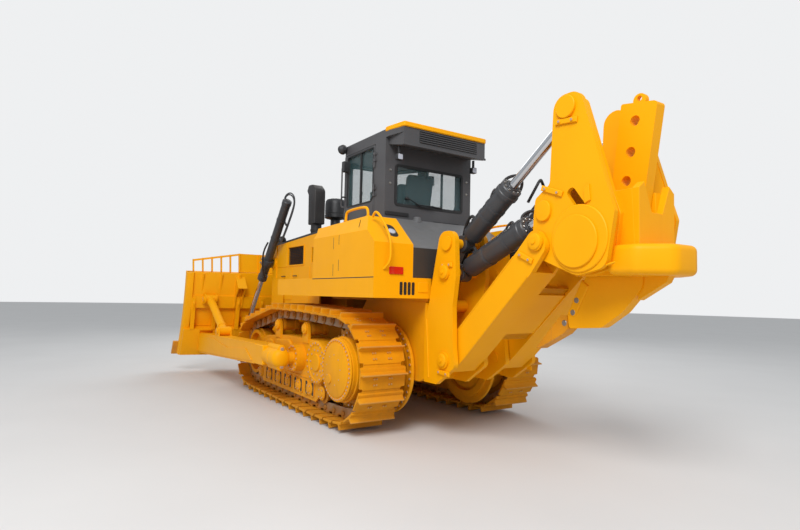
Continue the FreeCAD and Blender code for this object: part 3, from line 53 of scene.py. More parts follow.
Triple = tuple[float, float, float]
Socket = bpy.types.NodeSocket
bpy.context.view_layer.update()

# The sizes below are in metres from a point on the ground under the drive sprockets,
# which stand here along the part's own X axis.
SPROCKET_X = sum(corner[0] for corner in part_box("final_drives")) / 2


class Plane(Enum):
  """The plane in which a flat outline is drawn."""

  SIDE = "x and z, thickness along y"
  PLAN = "x and y, thickness along z"
  CROSS = "y and z, thickness along x"


SIDE, PLAN, CROSS = Plane
AHEAD, ACROSS, UP, ORIGIN = (1, 0, 0), (0, 1, 0), (0, 0, 1), (0, 0, 0)


class Side(Enum):
  """The two sides of the machine, by the sign of Y."""

  LEFT = 1
  RIGHT = -1


def mm(rows: Points) -> list[tuple[float, ...]]:
  """Rows given in whole millimetres, in metres."""
  return [tuple(part / 1000 for part in row) for row in rows]


def round_angles(count: int) -> Array:
  """Angles spaced evenly round a circle."""
  return np.linspace(0, 2 * math.pi, count, endpoint=False)


def unit(vectors: Array) -> Array:
  """Vectors divided by their lengths, along the last axis."""
  return vectors / np.maximum(np.linalg.norm(vectors, axis=-1, keepdims=True), 1e-12)


def eased(share: Array) -> Array:
  """Smooth step 3s^2 - 2s^3 of a share held between 0 and 1."""
  share = np.clip(share, 0.0, 1.0)
  return share * share * (3.0 - 2.0 * share)


def rounded(corners: Points, times: int = 3) -> Array:
  """Cut the corners of an open path, each pass putting points at 1/4 and 3/4 of every run.

  Args:
    corners: Points of the path.
    times: How many passes are made.
  Returns:
    The smoother path, with its two ends kept.
  """
  path = np.asarray(corners, float)
  for _ in range(times):
    near = path[:-1] * 0.75 + path[1:] * 0.25
    far = path[:-1] * 0.25 + path[1:] * 0.75
    middle = np.stack([near, far], axis=1).reshape(-1, path.shape[1])
    path = np.concatenate([path[:1], middle, path[-1:]])
  return path


@dataclass
class Skin:
  """Points, faces and a wear mark for each point of one or more closed surfaces."""

  points: Array
  faces: list[list[int]]
  marks: Array | None = None

  def worn(self) -> Array:
    """The wear marks, 0 where none were given."""
    return np.zeros(len(self.points)) if self.marks is None else self.marks

  def flipped(self) -> "Skin":
    """The same surface with every face turned over."""
    return Skin(self.points, [face[::-1] for face in self.faces], self.marks)

  def outward(self) -> "Skin":
    """Turn the faces so that the volume, a sum of a.(b x c)/6 over triangles, is positive.

    Returns:
      The surface.
    """
    fans = [(face[0], face[i], face[i + 1]) for face in self.faces for i in range(1, len(face) - 1)]
    a, b, c = (self.points[np.array(fans)[:, i]] for i in range(3))
    return self if np.sum(a * np.cross(b, c)) > 0 else self.flipped()

  def moved(self, x: float = 0.0, y: float = 0.0, z: float = 0.0) -> "Skin":
    """The surface shifted by a step."""
    return Skin(self.points + np.array([x, y, z]), self.faces, self.marks)

  def mirrored(self) -> "Skin":
    """The surface on the other side of the machine's middle plane."""
    return Skin(self.points * np.array([1.0, -1.0, 1.0]), self.faces, self.marks).flipped()

  def on(self, side: Side) -> "Skin":
    """The surface, drawn for the left, on the side asked for."""
    return self if side is Side.LEFT else self.mirrored()

  def both(self) -> "Skin":
    """The surface and its mirror image."""
    return joined([self, self.mirrored()])

  def copies(self, places: Array, frames: Array | None = None) -> "Skin":
    """Copies of the surface, each point being place + frame x point.

    Args:
      places: (n, 3) places of the copies.
      frames: (n, 3, 3) axes of the copies as columns, or none to leave them unturned.
    Returns:
      All the copies as one surface.
    """
    places = np.asarray(places, float).reshape(-1, 3)
    if frames is None:
      frames = np.broadcast_to(np.eye(3), (len(places), 3, 3))
    base = self if np.linalg.det(frames[0]) > 0 else self.flipped()
    points = np.einsum("nij,pj->npi", frames, base.points) + places[:, None, :]
    count = len(base.points)
    faces = [[i + count * n for i in face] for n in range(len(places)) for face in base.faces]
    return Skin(points.reshape(-1, 3), faces, np.tile(self.worn(), len(places)))


def joined(skins: Sequence[Skin]) -> Skin:
  """Several surfaces as one.

  Args:
    skins: Surfaces to join.
  Returns:
    The surface.
  """
  starts = np.cumsum([0] + [len(skin.points) for skin in skins])
  faces = [[i + int(start) for i in face] for skin, start in zip(skins, starts) for face in skin.faces]
  marks = np.concatenate([skin.worn() for skin in skins])
  return Skin(np.concatenate([skin.points for skin in skins]), faces, marks)


def woven(grid: Array, ends: bool = True, ring: bool = False) -> Skin:
  """Quads over a (rows, columns, 3) grid whose columns close round.

  Args:
    grid: Points by row and column.
    ends: Close the first and last rows with flat faces.
    ring: Join the last row to the first instead.
  Returns:
    The surface, faces outward.
  """
  rows, columns = grid.shape[:2]
  number = np.arange(rows * columns).reshape(rows, columns)
  wide = np.concatenate([number, number[:, :1]], axis=1)
  if ring:
    wide = np.concatenate([wide, wide[:1]], axis=0)
  quads = np.stack([wide[:-1, :-1], wide[:-1, 1:], wide[1:, 1:], wide[1:, :-1]], axis=-1)
  faces = quads.reshape(-1, 4).tolist()
  if ends and not ring:
    faces += [number[0][::-1].tolist(), number[-1].tolist()]
  return Skin(grid.reshape(-1, 3), faces).outward()


def axes_for(axis: Point) -> tuple[Array, Array, Array]:
  """A unit axis and two more at right angles to it and to each other.

  Args:
    axis: Direction.
  Returns:
    The axis and the other two.
  """
  along = unit(np.asarray(axis, float))
  helper = np.array([0.0, 0.0, 1.0]) if abs(along[2]) < 0.9 else np.array([1.0, 0.0, 0.0])
  across = unit(np.cross(helper, along))
  return along, across, np.cross(along, across)


def lathe(profile: Points, centre: Point, axis: Point = ACROSS, sides: int = 32, ring: bool = False) -> Skin:
  """Turned surface: point = centre + axis h + r (cos a u + sin a w) for each (r, h) and angle a.

  Args:
    profile: (radius, height) corners.
    centre: Point from which heights count.
    axis: Direction of the turning axis.
    sides: Steps round the axis.
    ring: Join the last corner to the first, for a ring with a hole.
  Returns:
    The closed surface.
  """
  along, across, up = axes_for(axis)
  corners = np.asarray(profile, float)
  angles = round_angles(sides)
  rim = np.cos(angles)[:, None] * across + np.sin(angles)[:, None] * up
  grid = np.asarray(centre, float) + corners[:, 1, None, None] * along + corners[:, 0, None, None] * rim
  return woven(grid, ring=ring)


def tube(path: Points, radius: float | Array, sides: int = 10) -> Skin:
  """Round tube: point = path + r (cos a s + sin a n), with s and n square to the path.

  Args:
    path: Points that the tube follows.
    radius: Its radius, or one for each point.
    sides: Steps round the tube.
  Returns:
    The closed surface.
  """
  line = np.asarray(path, float)
  tangent = unit(np.gradient(line, axis=0))
  flat = np.linalg.svd(line - line.mean(0) + 1e-9)[2][2]
  if np.max(np.abs(tangent @ flat)) > 0.9:
    flat = axes_for(tangent[0])[1]
  side = unit(np.cross(tangent, flat))
  lift = np.cross(side, tangent)
  angles = round_angles(sides)
  radii = np.broadcast_to(np.asarray(radius, float), (len(line),))[:, None, None]
  rim = np.cos(angles)[:, None] * side[:, None, :] + np.sin(angles)[:, None] * lift[:, None, :]
  return woven(line[:, None, :] + radii * rim)


def pipe(path: Points, radius: float, sides: int = 10) -> Skin:
  """Round tube along a path whose corners are cut first."""
  return tube(rounded(path), radius, sides)


def weld(path: Points, size: float = 0.009) -> Skin:
  """Weld bead: a tube whose radius ripples as size (0.9 + 0.22 |sin 1.9 i|) at its i-th point.

  Args:
    path: Points that it follows.
    size: Radius of the bead.
  Returns:
    The surface.
  """
  ends = np.asarray(path, float)
  runs = np.linalg.norm(np.diff(ends, axis=0), axis=1)
  total = np.concatenate([[0.0], np.cumsum(runs)])
  count = int(min(60, max(4, total[-1] / 0.03)))
  steps = np.linspace(0, total[-1], count)
  line = np.stack([np.interp(steps, total, ends[:, i]) for i in range(3)], axis=1)
  return tube(line, size * (0.9 + 0.22 * np.abs(np.sin(np.arange(count) * 1.9))), 6)


def inset(outline: Array, by: float) -> Array:
  """Move a flat closed outline inwards, each corner along the mean of its edge normals.

  Args:
    outline: Corners of a closed outline.
    by: Distance inwards.
  Returns:
    The moved outline.
  """
  ahead = unit(np.roll(outline, -1, axis=0) - outline)
  normal = np.stack([-ahead[:, 1], ahead[:, 0]], axis=1)
  before = np.roll(normal, 1, axis=0)
  turn = np.sum(ahead[:, 0] * np.roll(ahead, 1, axis=0)[:, 1] - ahead[:, 1] * np.roll(ahead, 1, axis=0)[:, 0])
  mean = (normal + before) / np.maximum(1.0 + np.sum(normal * before, axis=1, keepdims=True), 0.25)
  return outline - mean * by * np.sign(turn)


def lifted(outline: Array, level: float, plane: Plane) -> Array:
  """Points of a flat outline at a level square to its plane.

  Args:
    outline: Corners of a closed outline.
    level: Level square to the plane.
    plane: Plane of the outline.
  Returns:
    (n, 3) points.
  """
  level_row = np.full(len(outline), level)
  columns = {
    SIDE: (outline[:, 0], level_row, outline[:, 1]),
    PLAN: (outline[:, 0], outline[:, 1], level_row),
    CROSS: (level_row, outline[:, 0], outline[:, 1]),
  }[plane]
  return np.stack(columns, axis=1)


def slab(outline: Points, low: float, high: float, plane: Plane = SIDE, chamfer: float = 0.003) -> Skin:
  """Plate of a flat outline between two levels, its rims chamfered.

  Args:
    outline: (u, v) corners in the plane.
    low: Lower level.
    high: Upper level.
    plane: Plane of the outline.
    chamfer: Width of the chamfer.
  Returns:
    The closed surface.
  """
  corners = np.asarray(outline, float)
  small = inset(corners, chamfer)
  rows = [(small, low), (corners, low + chamfer), (corners, high - chamfer), (small, high)]
  return woven(np.stack([lifted(line, level, plane) for line, level in rows]))


def box(u0: float, v0: float, u1: float, v1: float) -> list[Pair]:
  """Corners of a rectangle."""
  return [(u0, v0), (u1, v0), (u1, v1), (u0, v1)]


def soft_box(u0: float, v0: float, u1: float, v1: float, radius: float, steps: int = 4) -> Array:
  """Corners of a rectangle with its four corners rounded by arcs of a radius.

  Args:
    u0: Left edge.
    v0: Lower edge.
    u1: Right edge.
    v1: Upper edge.
    radius: Radius.
    steps: Runs in each arc.
  Returns:
    (n, 2) points.
  """
  angles = np.linspace(0, math.pi / 2, steps + 1)
  arc = np.stack([np.cos(angles), np.sin(angles)], axis=1) * radius
  spin = [np.array([[math.cos(a), -math.sin(a)], [math.sin(a), math.cos(a)]]) for a in np.arange(4) * math.pi
      / 2]
  middles = [(u1 - radius, v1 - radius), (u0 + radius, v1 - radius), (u0 + radius, v0 + radius),
      (u1 - radius, v0 + radius)]
  return np.concatenate([arc @ turn.T + np.array(middle) for turn, middle in zip(spin, middles)])


def filleted(corners: Points, steps: int = 6) -> Array:
  """Closed outline whose corners (u, v, radius) become arcs that touch both of their edges.

  The arc's centre lies radius / sin(h) along the corner's bisector, h being half its angle, and
  its points are (sin((1 - s) w) a + sin(s w) b) / sin(w) for the two touching radii a and b.

  Args:
    corners: Corners, those without a radius staying sharp.
    steps: Runs in each arc.
  Returns:
    (n, 2) points.
  """
  rows = []
  for index, corner in enumerate(corners):
    here = np.array(corner[:2], float)
    if len(corner) < 3:
      rows.append(here[None])
      continue
    before = unit(np.array(corners[index - 1][:2]) - here)
    after = unit(np.array(corners[(index + 1) % len(corners)][:2]) - here)
    half = math.acos(float(np.clip(before @ after, -1.0, 1.0))) / 2
    centre = here + unit(before + after) * corner[2] / math.sin(half)
    reach = corner[2] / math.tan(half)
    share = np.linspace(0, 1, steps + 1)[:, None]
    wide = math.pi - 2 * half
    ends = (here + before * reach - centre, here + after * reach - centre)
    rows.append(centre + (np.sin((1 - share) * wide) * ends[0] + np.sin(share * wide) * ends[1])
        / math.sin(wide))
  return np.concatenate(rows)


def round_hole(u: float, v: float, radius: float, steps: int = 20) -> Array:
  """Points of a circle (u + r cos a, v + r sin a)."""
  angles = round_angles(steps)
  return np.stack([u + radius * np.cos(angles), v + radius * np.sin(angles)], axis=1)


def pierced(outline: Array, holes: Sequence[Array]) -> Array:
  """One outline that runs round a plate and, by a cut of no width, in and out round each hole.

  Args:
    outline: Corners of a closed outline.
    holes: Closed outlines of the holes.
  Returns:
    (n, 2) points.
  """
  made = np.asarray(outline, float)
  area = np.sum(made[:, 0] * np.roll(made[:, 1], -1) - made[:, 1] * np.roll(made[:, 0], -1))
  for hole in holes:
    turn = np.sum(hole[:, 0] * np.roll(hole[:, 1], -1) - hole[:, 1] * np.roll(hole[:, 0], -1))
    ring = hole[::-1] if turn * area > 0 else hole
    gaps = np.linalg.norm(made[:, None, :] - ring[None, :, :], axis=2)
    near, far = np.unravel_index(np.argmin(gaps), gaps.shape)
    ring = np.roll(ring, -far, axis=0)
    made = np.concatenate([made[:near + 1], ring, ring[:1], made[near:]])
  return made


def plate(outline: Array, low: float, high: float, plane: Plane = SIDE) -> Skin:
  """Plate with sharp rims, for an outline with holes."""
  return woven(np.stack([lifted(outline, low, plane), lifted(outline, high, plane)]))


def cushioned(outline: Array, low: float, high: float, soft: float, plane: Plane) -> Skin:
  """Block of a flat outline whose rims are rolled over: inset soft (1 - sin a) at depth soft (1 - cos a).

  Args:
    outline: Corners of a closed outline.
    low: Lower level.
    high: Upper level.
    soft: Radius of the rolled rims.
    plane: Plane of the outline.
  Returns:
    The surface.
  """
  turns = np.linspace(0, math.pi / 2, 5)
  rows = [lifted(inset(outline, soft * (1 - math.sin(a))), low + soft * (1 - math.cos(a)), plane)
      for a in turns]
  rows += [lifted(inset(outline, soft * (1 - math.sin(a))), high - soft * (1 - math.cos(a)), plane)
      for a in turns[::-1]]
  return woven(np.stack(rows))


def bar_on(ends: Points, wide: float, low: float, high: float) -> Skin:
  """Rolled block along a side-plane line from one end to the other.

  Args:
    ends: The two ends.
    wide: Width.
    low: Lower level.
    high: Upper level.
  Returns:
    The surface.
  """
  first, last = (np.asarray(end, float) for end in ends)
  ahead = unit(last - first)
  side = np.array([-ahead[1], ahead[0]]) * wide / 2
  return slab([first - side, last - side, last + side, first + side], low, high, chamfer=0.006)


def rim(outline: Array, wide: float, low: float, high: float, plane: Plane) -> Skin:
  """Flat frame that follows a closed outline, from the outline inwards by a width.

  Args:
    outline: Corners of a closed outline.
    wide: Width.
    low: Lower level.
    high: Upper level.
    plane: Plane of the outline.
  Returns:
    The surface.
  """
  outer, inner = np.asarray(outline, float), inset(np.asarray(outline, float), wide)
  rows = [(outer, low), (outer, high), (inner, high), (inner, low)]
  return woven(np.stack([lifted(line, level, plane) for line, level in rows]), ring=True)


def hexagon(size: float, washer: bool = True) -> Skin:
  """Bolt head along +Z on its washer, its wear mark rising to the top face.

  Args:
    size: Radius over the corners.
    washer: Whether a washer lies under the head.
  Returns:
    The surface.
  """
  head = lathe([(size, 0.0), (size, size * 0.75), (size * 0.82, size * 0.95)], ORIGIN, UP, 6)
  head.marks = np.repeat([0.0, 0.4, 0.8], 6)
  if not washer:
    return head
  plate = lathe([(size * 1.5, 0.0), (size * 1.5, size * 0.16), (size * 1.35, size * 0.24)], ORIGIN, UP, 10)
  return joined([plate, head.moved(z=size * 0.2)])


def bolts(centres: Points, axis: Point, size: float, washer: bool = True) -> Skin:
  """Bolt heads at several places, all facing one way.

  Args:
    centres: Places of the heads.
    axis: Direction.
    size: Radius over a head's corners.
    washer: Whether a washer lies under the head.
  Returns:
    The surface.
  """
  along, across, up = axes_for(axis)
  places = np.asarray(centres, float).reshape(-1, 3)
  frames = np.broadcast_to(np.stack([across, up, along], axis=1), (len(places), 3, 3))
  return hexagon(size, washer).copies(places, frames)


def bolt_circle(centre: Point, axis: Point, radius: float, count: int, size: float,
        start: float = 0.0) -> Skin:
  """Bolt heads spaced evenly round a circle.

  Args:
    centre: Middle of the circle.
    axis: Direction.
    radius: Radius.
    count: How many.
    size: Radius over a head's corners.
    start: Angle of the first.
  Returns:
    The surface.
  """
  _, across, up = axes_for(axis)
  angles = start + round_angles(count)
  ring = np.cos(angles)[:, None] * across + np.sin(angles)[:, None] * up
  return bolts(np.asarray(centre, float) + radius * ring, axis, size)


def row_of(first: Point, last: Point, count: int) -> Array:
  """Points spaced evenly from one to another."""
  return np.linspace(np.asarray(first, float), np.asarray(last, float), count)


# Shader expressions


class Value:
  """A number that varies over the surface; arithmetic on it adds Math nodes."""

  def __init__(self, graph: "Graph", socket: Socket) -> None:
    """Wrap an output socket of a graph."""
    self.graph = graph
    self.socket = socket

  def maths(self, operation: str, first: "Value | float", second: "Value | float | None" = None) -> "Value":
    """One Math node.

    Args:
      operation: Name of the operation.
      first: Its first input.
      second: Its second input, where it has one.
    Returns:
      The node's output.
    """
    inputs = {0: first} if second is None else {0: first, 1: second}
    return Value(self.graph, self.graph.node("ShaderNodeMath", {"operation": operation}, inputs).outputs[0])

  def __add__(self, other: "Value | float") -> "Value":
    """Sum."""
    return self.maths("ADD", self, other)

  __radd__ = __add__

  def __sub__(self, other: "Value | float") -> "Value":
    """Difference."""
    return self.maths("SUBTRACT", self, other)

  def __rsub__(self, other: float) -> "Value":
    """Difference from a number."""
    return self.maths("SUBTRACT", other, self)

  def __mul__(self, other: "Value | float") -> "Value":
    """Product."""
    return self.maths("MULTIPLY", self, other)

  __rmul__ = __mul__

  def clamp(self) -> "Value":
    """Held between 0 and 1."""
    return self.maths("MAXIMUM", self.maths("MINIMUM", self, 1.0), 0.0)

  def band(self, low: float, high: float) -> "Value":
    """Smooth rise from 0 at one level to 1 at another.

    Args:
      low: Lower level.
      high: Upper level.
    Returns:
      The value.
    """
    settings = {"interpolation_type": "SMOOTHSTEP"}
    made = self.graph.node("ShaderNodeMapRange", settings, {0: self, 1: low, 2: high, 3: 0.0, 4: 1.0})
    return Value(self.graph, made.outputs[0])

  def wave(self) -> "Value":
    """Sine of the value."""
    return self.maths("SINE", self)


class Graph:
  """The node tree of one material, with helpers that add to it."""

  def __init__(self, name: str) -> None:
    """Start an empty tree that ends in a Principled shader.

    Args:
      name: Name of the material.
    """
    self.material = bpy.data.materials.new(name)
    self.material.use_nodes = True
    self.tree = self.material.node_tree
    self.tree.nodes.clear()
    self.shader = self.tree.nodes.new("ShaderNodeBsdfPrincipled")
    end = self.tree.nodes.new("ShaderNodeOutputMaterial")
    self.tree.links.new(self.shader.outputs[0], end.inputs[0])
    self.place = self.node("ShaderNodeTexCoord").outputs["Object"]
    self.facing = self.node("ShaderNodeNewGeometry").outputs["Normal"]

  def node(self, kind: str, settings: dict | None = None, inputs: dict | None = None) -> bpy.types.Node:
    """Add a node.

    Args:
      kind: Its type.
      settings: Properties to set first.
      inputs: Value, number, colour or socket for each input by name or index.
    Returns:
      The node.
    """
    made = self.tree.nodes.new(kind)
    for name, setting in (settings or {}).items():
      setattr(made, name, setting)
    for name, given in (inputs or {}).items():
      self.feed(made.inputs[name], given)
    return made

  def feed(self, socket: Socket, given: object) -> None:
    """Link a socket, or set its number or colour.

    Args:
      socket: The input.
      given: What it gets.
    """
    if isinstance(given, Value):
      given = given.socket
    if isinstance(given, Socket):
      self.tree.links.new(given, socket)
    elif isinstance(given, tuple) and len(given) == 3 and socket.type == "RGBA":
      socket.default_value = (*given, 1.0)
    else:
      socket.default_value = given

  def noise(self, scale: float, detail: float = 3.0, stretch: Triple | None = None) -> Value:
    """Cloudy pattern in object space, about 0.5 on average.

    Args:
      scale: Fineness of the pattern.
      detail: Octaves.
      stretch: Scale along each axis.
    Returns:
      The pattern.
    """
    vector = self.place
    if stretch:
      vector = self.node("ShaderNodeMapping", {}, {"Vector": vector, "Scale": stretch}).outputs[0]
    made = self.node("ShaderNodeTexNoise", {}, {"Vector": vector, "Scale": scale, "Detail": detail})
    return Value(self, made.outputs[0])

  def axis(self, vector: Socket, index: int) -> Value:
    """One coordinate of a vector."""
    return Value(self, self.node("ShaderNodeSeparateXYZ", {}, {0: vector}).outputs[index])

  def mix(self, share: Value | float, first: object, second: object) -> Socket:
    """Colour between two others."""
    made = self.node("ShaderNodeMix", {"data_type": "RGBA"}, {0: share, 6: first, 7: second})
    return made.outputs[2]

  def edges(self, radius: float) -> Value:
    """How far the surface turns within a radius: 0 on flats, rising on edges.

    Args:
      radius: Reach of the test.
    Returns:
      How far it turns.
    """
    blunt = self.node("ShaderNodeBevel", {"samples": 4}, {"Radius": radius}).outputs[0]
    made = self.node("ShaderNodeVectorMath", {"operation": "DOT_PRODUCT"}, {0: blunt, 1: self.facing})
    return 1.0 - Value(self, made.outputs["Value"])

  def mark(self) -> Value:
    """The wear mark kept with the mesh."""
    made = self.node("ShaderNodeAttribute", {"attribute_name": "worn"})
    return Value(self, made.outputs["Fac"])

  def bump(self, height: Value, depth: float, strength: float = 1.0) -> None:
    """Drive the shader's normal from a height."""
    made = self.node("ShaderNodeBump", {}, {"Height": height, "Distance": depth, "Strength": strength})
    self.tree.links.new(made.outputs[0], self.shader.inputs["Normal"])


@dataclass(frozen=True)
class Finish:
  """A finish by name, with the record's slot that it belongs to."""

  name: str
  slot: str

  def draw(self, graph: Graph) -> None:
    """Fill the shader of a graph."""
    raise NotImplementedError

  def material(self) -> bpy.types.Material:
    """The material, made once.

    Returns:
      The material.
    """
    known = bpy.data.materials.get(self.name)
    if known:
      return known
    graph = Graph(self.name)
    self.draw(graph)
    return graph.material


@dataclass(frozen=True)
class Coated(Finish):
  """Paint or metal with cloudy colour, streaks, chipped edges and settled dust."""

  colour: Triple = (0.5, 0.5, 0.5)
  cloud: Triple = (0.5, 0.5, 0.5)
  rough: float = 0.4
  metal: float = 0.0
  streaks: float = 0.0
  streak_colour: Triple = (0.1, 0.08, 0.05)
  dust: float = 0.0
  dust_top: float = 0.0
  dust_height: float = 1.2
  dust_colour: Triple = (0.3, 0.21, 0.12)
  chips: float = 0.0
  chip_colour: Triple = (0.22, 0.21, 0.2)
  worn_colour: Triple = (0.45, 0.44, 0.42)
  peel: float = 0.0006
  peel_scale: float = 55.0
  gloss: float = 0.5

  def draw(self, graph: Graph) -> None:
    """Layer clouds, streaks, chips, marks and dust over the base colour.

    Args:
      graph: The graph to fill.
    """
    broad = graph.noise(1.7, 4.0)
    middle = graph.noise(9.0, 5.0)
    fine = graph.noise(self.peel_scale, 3.0)
    height = graph.axis(graph.place, 2)
    top = graph.axis(graph.facing, 2)
    colour = graph.mix(broad.band(0.3, 0.7), self.colour, self.cloud)
    rough = self.rough + (middle - 0.5) * 0.16
    metal = Value(graph, broad.socket) * 0.0 + self.metal
    if self.streaks:
      run = graph.noise(1.0, 4.0, (13.0, 13.0, 0.7)).band(0.55, 0.8) * self.streaks * (1.0
          - top.band(0.3, 0.8))
      colour = graph.mix(run.clamp(), colour, self.streak_colour)
      rough = rough + run * 0.2
    if self.chips:
      chip = graph.edges(0.006).band(0.06, 0.3) * middle.band(0.5, 0.62) * self.chips
      colour = graph.mix(chip.clamp(), colour, self.chip_colour)
      metal = metal + chip * 0.5
    worn = (graph.mark() * (0.55 + fine * 0.9)).clamp()
    colour = graph.mix(worn, colour, self.worn_colour)
    metal = metal + worn * 0.7
    dusty = (1.0 - height.band(0.05, self.dust_height)) * self.dust + top.band(0.5, 0.95) * self.dust_top
    dusty = (dusty * (middle * 2.2 - 0.35).clamp() * (1.0 - worn * 0.8)).clamp()
    colour = graph.mix(dusty, colour, self.dust_colour)
    graph.feed(graph.shader.inputs["Base Color"], colour)
    graph.feed(graph.shader.inputs["Roughness"], (rough + dusty * 0.4 - worn * 0.1).clamp())
    graph.feed(graph.shader.inputs["Metallic"], (metal * (1.0 - dusty * 0.8)).clamp())
    graph.shader.inputs["Specular IOR Level"].default_value = self.gloss
    graph.bump(fine + middle * 0.5 + dusty * 1.5, self.peel)


@dataclass(frozen=True)
class Pane(Finish):
  """Tinted glass with a thin film of dust in patches."""

  tint: Triple = (0.1, 0.19, 0.2)
  alpha: float = 0.2

  def draw(self, graph: Graph) -> None:
    """See-through sheet whose dust clouds its colour, gloss and alpha.

    Args:
      graph: The graph to fill.
    """
    film = (graph.noise(3.0, 5.0).band(0.5, 0.85) * 0.08 + graph.noise(22.0, 2.0).band(0.65, 0.85)
        * 0.03).clamp()
    colour = graph.mix(film, self.tint, (0.33, 0.31, 0.27))
    graph.feed(graph.shader.inputs["Base Color"], colour)
    graph.feed(graph.shader.inputs["Roughness"], 0.03 + film * 1.2)
    graph.feed(graph.shader.inputs["Alpha"], (self.alpha + film * 0.8).clamp())
    graph.shader.inputs["Specular IOR Level"].default_value = 0.8


@dataclass(frozen=True)
class Cloth(Finish):
  """Woven seat cloth: threads crossing as the product of two sine waves, worn lighter in patches."""

  colour: Triple = (0.035, 0.036, 0.04)
  threads: float = 900.0

  def draw(self, graph: Graph) -> None:
    """Weave bump, colour between thread and gap, and pale wear.

    Args:
      graph: The graph to fill.
    """
    across = (graph.axis(graph.place, 1) * self.threads).wave()
    along = ((graph.axis(graph.place, 0) + graph.axis(graph.place, 2)) * self.threads).wave()
    weave = (across * along * 0.5 + 0.5).clamp()
    colour = graph.mix(weave, tuple(0.55 * part for part in self.colour), self.colour)
    wear = graph.noise(6.0, 4.0).band(0.5, 0.75) * 0.35
    colour = graph.mix(wear, colour, (0.11, 0.105, 0.1))
    graph.feed(graph.shader.inputs["Base Color"], colour)
    graph.feed(graph.shader.inputs["Roughness"], (0.85 + wear * 0.2).clamp())
    graph.shader.inputs["Sheen Weight"].default_value = 0.3
    graph.bump(weave + graph.noise(40.0) * 0.4, 0.0006)


@dataclass(frozen=True)
class Moulded(Finish):
  """Moulded plastic or rubber with a fine grain, scuffs and dust on its top faces."""

  colour: Triple = (0.02, 0.02, 0.022)
  rough: float = 0.55
  grain: float = 260.0
  depth: float = 0.0004

  def draw(self, graph: Graph) -> None:
    """Grain bump, scuffed roughness and a dust film.

    Args:
      graph: The graph to fill.
    """
    grain = graph.noise(self.grain, 2.0)
    scuff = graph.noise(14.0, 5.0)
    film = graph.axis(graph.facing, 2).band(0.4, 1.0) * scuff.band(0.4, 0.7) * 0.3
    colour = graph.mix(scuff.band(0.4, 0.7) * 0.25, self.colour,
        tuple(part * 1.7 + 0.01 for part in self.colour))
    graph.feed(graph.shader.inputs["Base Color"], graph.mix(film, colour, (0.28, 0.23, 0.17)))
    graph.feed(graph.shader.inputs["Roughness"], (self.rough + (scuff - 0.5) * 0.2 + film * 0.3).clamp())
    graph.bump(grain + scuff * 0.3, self.depth)


@dataclass(frozen=True)
class Lens(Finish):
  """Ribbed lamp or reflector glass: ribs as a sine across it, their shade painted into the colour, over a bright
  base.
  """

  colour: Triple = (0.7, 0.72, 0.75)
  ribs: float = 420.0

  def draw(self, graph: Graph) -> None:
    """Ribbed bump, with the ribs' shade painted into a glossy colour.

    Args:
      graph: The graph to fill.
    """
    ribs = (graph.axis(graph.place, 1) * self.ribs).wave() * 0.5 + 0.5
    grime = graph.noise(20.0, 4.0).band(0.5, 0.8) * 0.3
    # The colour darkens along the rib wave: painted shade of the ribs.
    dark = tuple(part * 0.45 for part in self.colour)
    colour = graph.mix(ribs * 0.5, self.colour, dark)
    graph.feed(graph.shader.inputs["Base Color"], graph.mix(grime, colour, (0.2, 0.17, 0.13)))
    graph.feed(graph.shader.inputs["Roughness"], 0.12 + grime)
    graph.bump(ribs, 0.0008)


YELLOW = Coated("body_yellow_paint", "yellow", (0.9, 0.385, 0.0012), (0.93, 0.405, 0.0015), 0.44, gloss=0.14,
    streaks=0.05, streak_colour=(0.55, 0.21, 0.004), dust=0.1, dust_top=0.02, dust_height=0.7, chips=0.2,
    chip_colour=(0.4, 0.17, 0.01))
LOW_YELLOW = Coated("undercarriage_yellow_paint", "yellow", (0.86, 0.36, 0.0015), (0.8, 0.325, 0.003), 0.5,
    gloss=0.14, streaks=0.18, streak_colour=(0.4, 0.17, 0.02), dust=0.3, dust_top=0.12, dust_height=0.9,
    dust_colour=(0.42, 0.22, 0.05), chips=0.35, chip_colour=(0.3, 0.14, 0.03), peel=0.001)
SHOE = Coated("track_shoe_paint_and_dirt", "track", (0.8, 0.32, 0.002), (0.66, 0.25, 0.004), 0.55, gloss=0.14,
    streaks=0.15, streak_colour=(0.3, 0.13, 0.02), dust=0.35, dust_top=0.1, dust_height=0.9,
    dust_colour=(0.36, 0.18, 0.04), chips=0.45, chip_colour=(0.28, 0.14, 0.04), peel=0.0015,
    worn_colour=(0.62, 0.4, 0.14))
CHAIN = Coated("soiled_chain_iron", "track", (0.58, 0.22, 0.004), (0.28, 0.11, 0.012), 0.6, gloss=0.25,
    streaks=0.3, streak_colour=(0.1, 0.05, 0.02), dust=0.4, dust_top=0.15, dust_height=1.0,
    dust_colour=(0.28, 0.15, 0.05), chips=0.3, peel=0.0016, worn_colour=(0.42, 0.36, 0.28))
# Castings: base and clouds darker than the body yellow as painted shade on rollers and sprockets; the dust and
# streaks are soil.
CAST = Coated("soiled_painted_castings", "cast", (0.7, 0.275, 0.003), (0.45, 0.18, 0.008), 0.56, gloss=0.25,
    streaks=0.3, streak_colour=(0.14, 0.07, 0.02), dust=0.3, dust_top=0.15, dust_height=0.9,
    dust_colour=(0.3, 0.16, 0.05), chips=0.3, peel=0.002)
CHARCOAL = Coated("cab_charcoal_paint", "dark", (0.066, 0.064, 0.067), (0.08, 0.078, 0.081), 0.45, gloss=0.4,
    streaks=0.1, streak_colour=(0.1, 0.095, 0.085), dust_top=0.12, chips=0.15, chip_colour=(0.16, 0.15, 0.14))
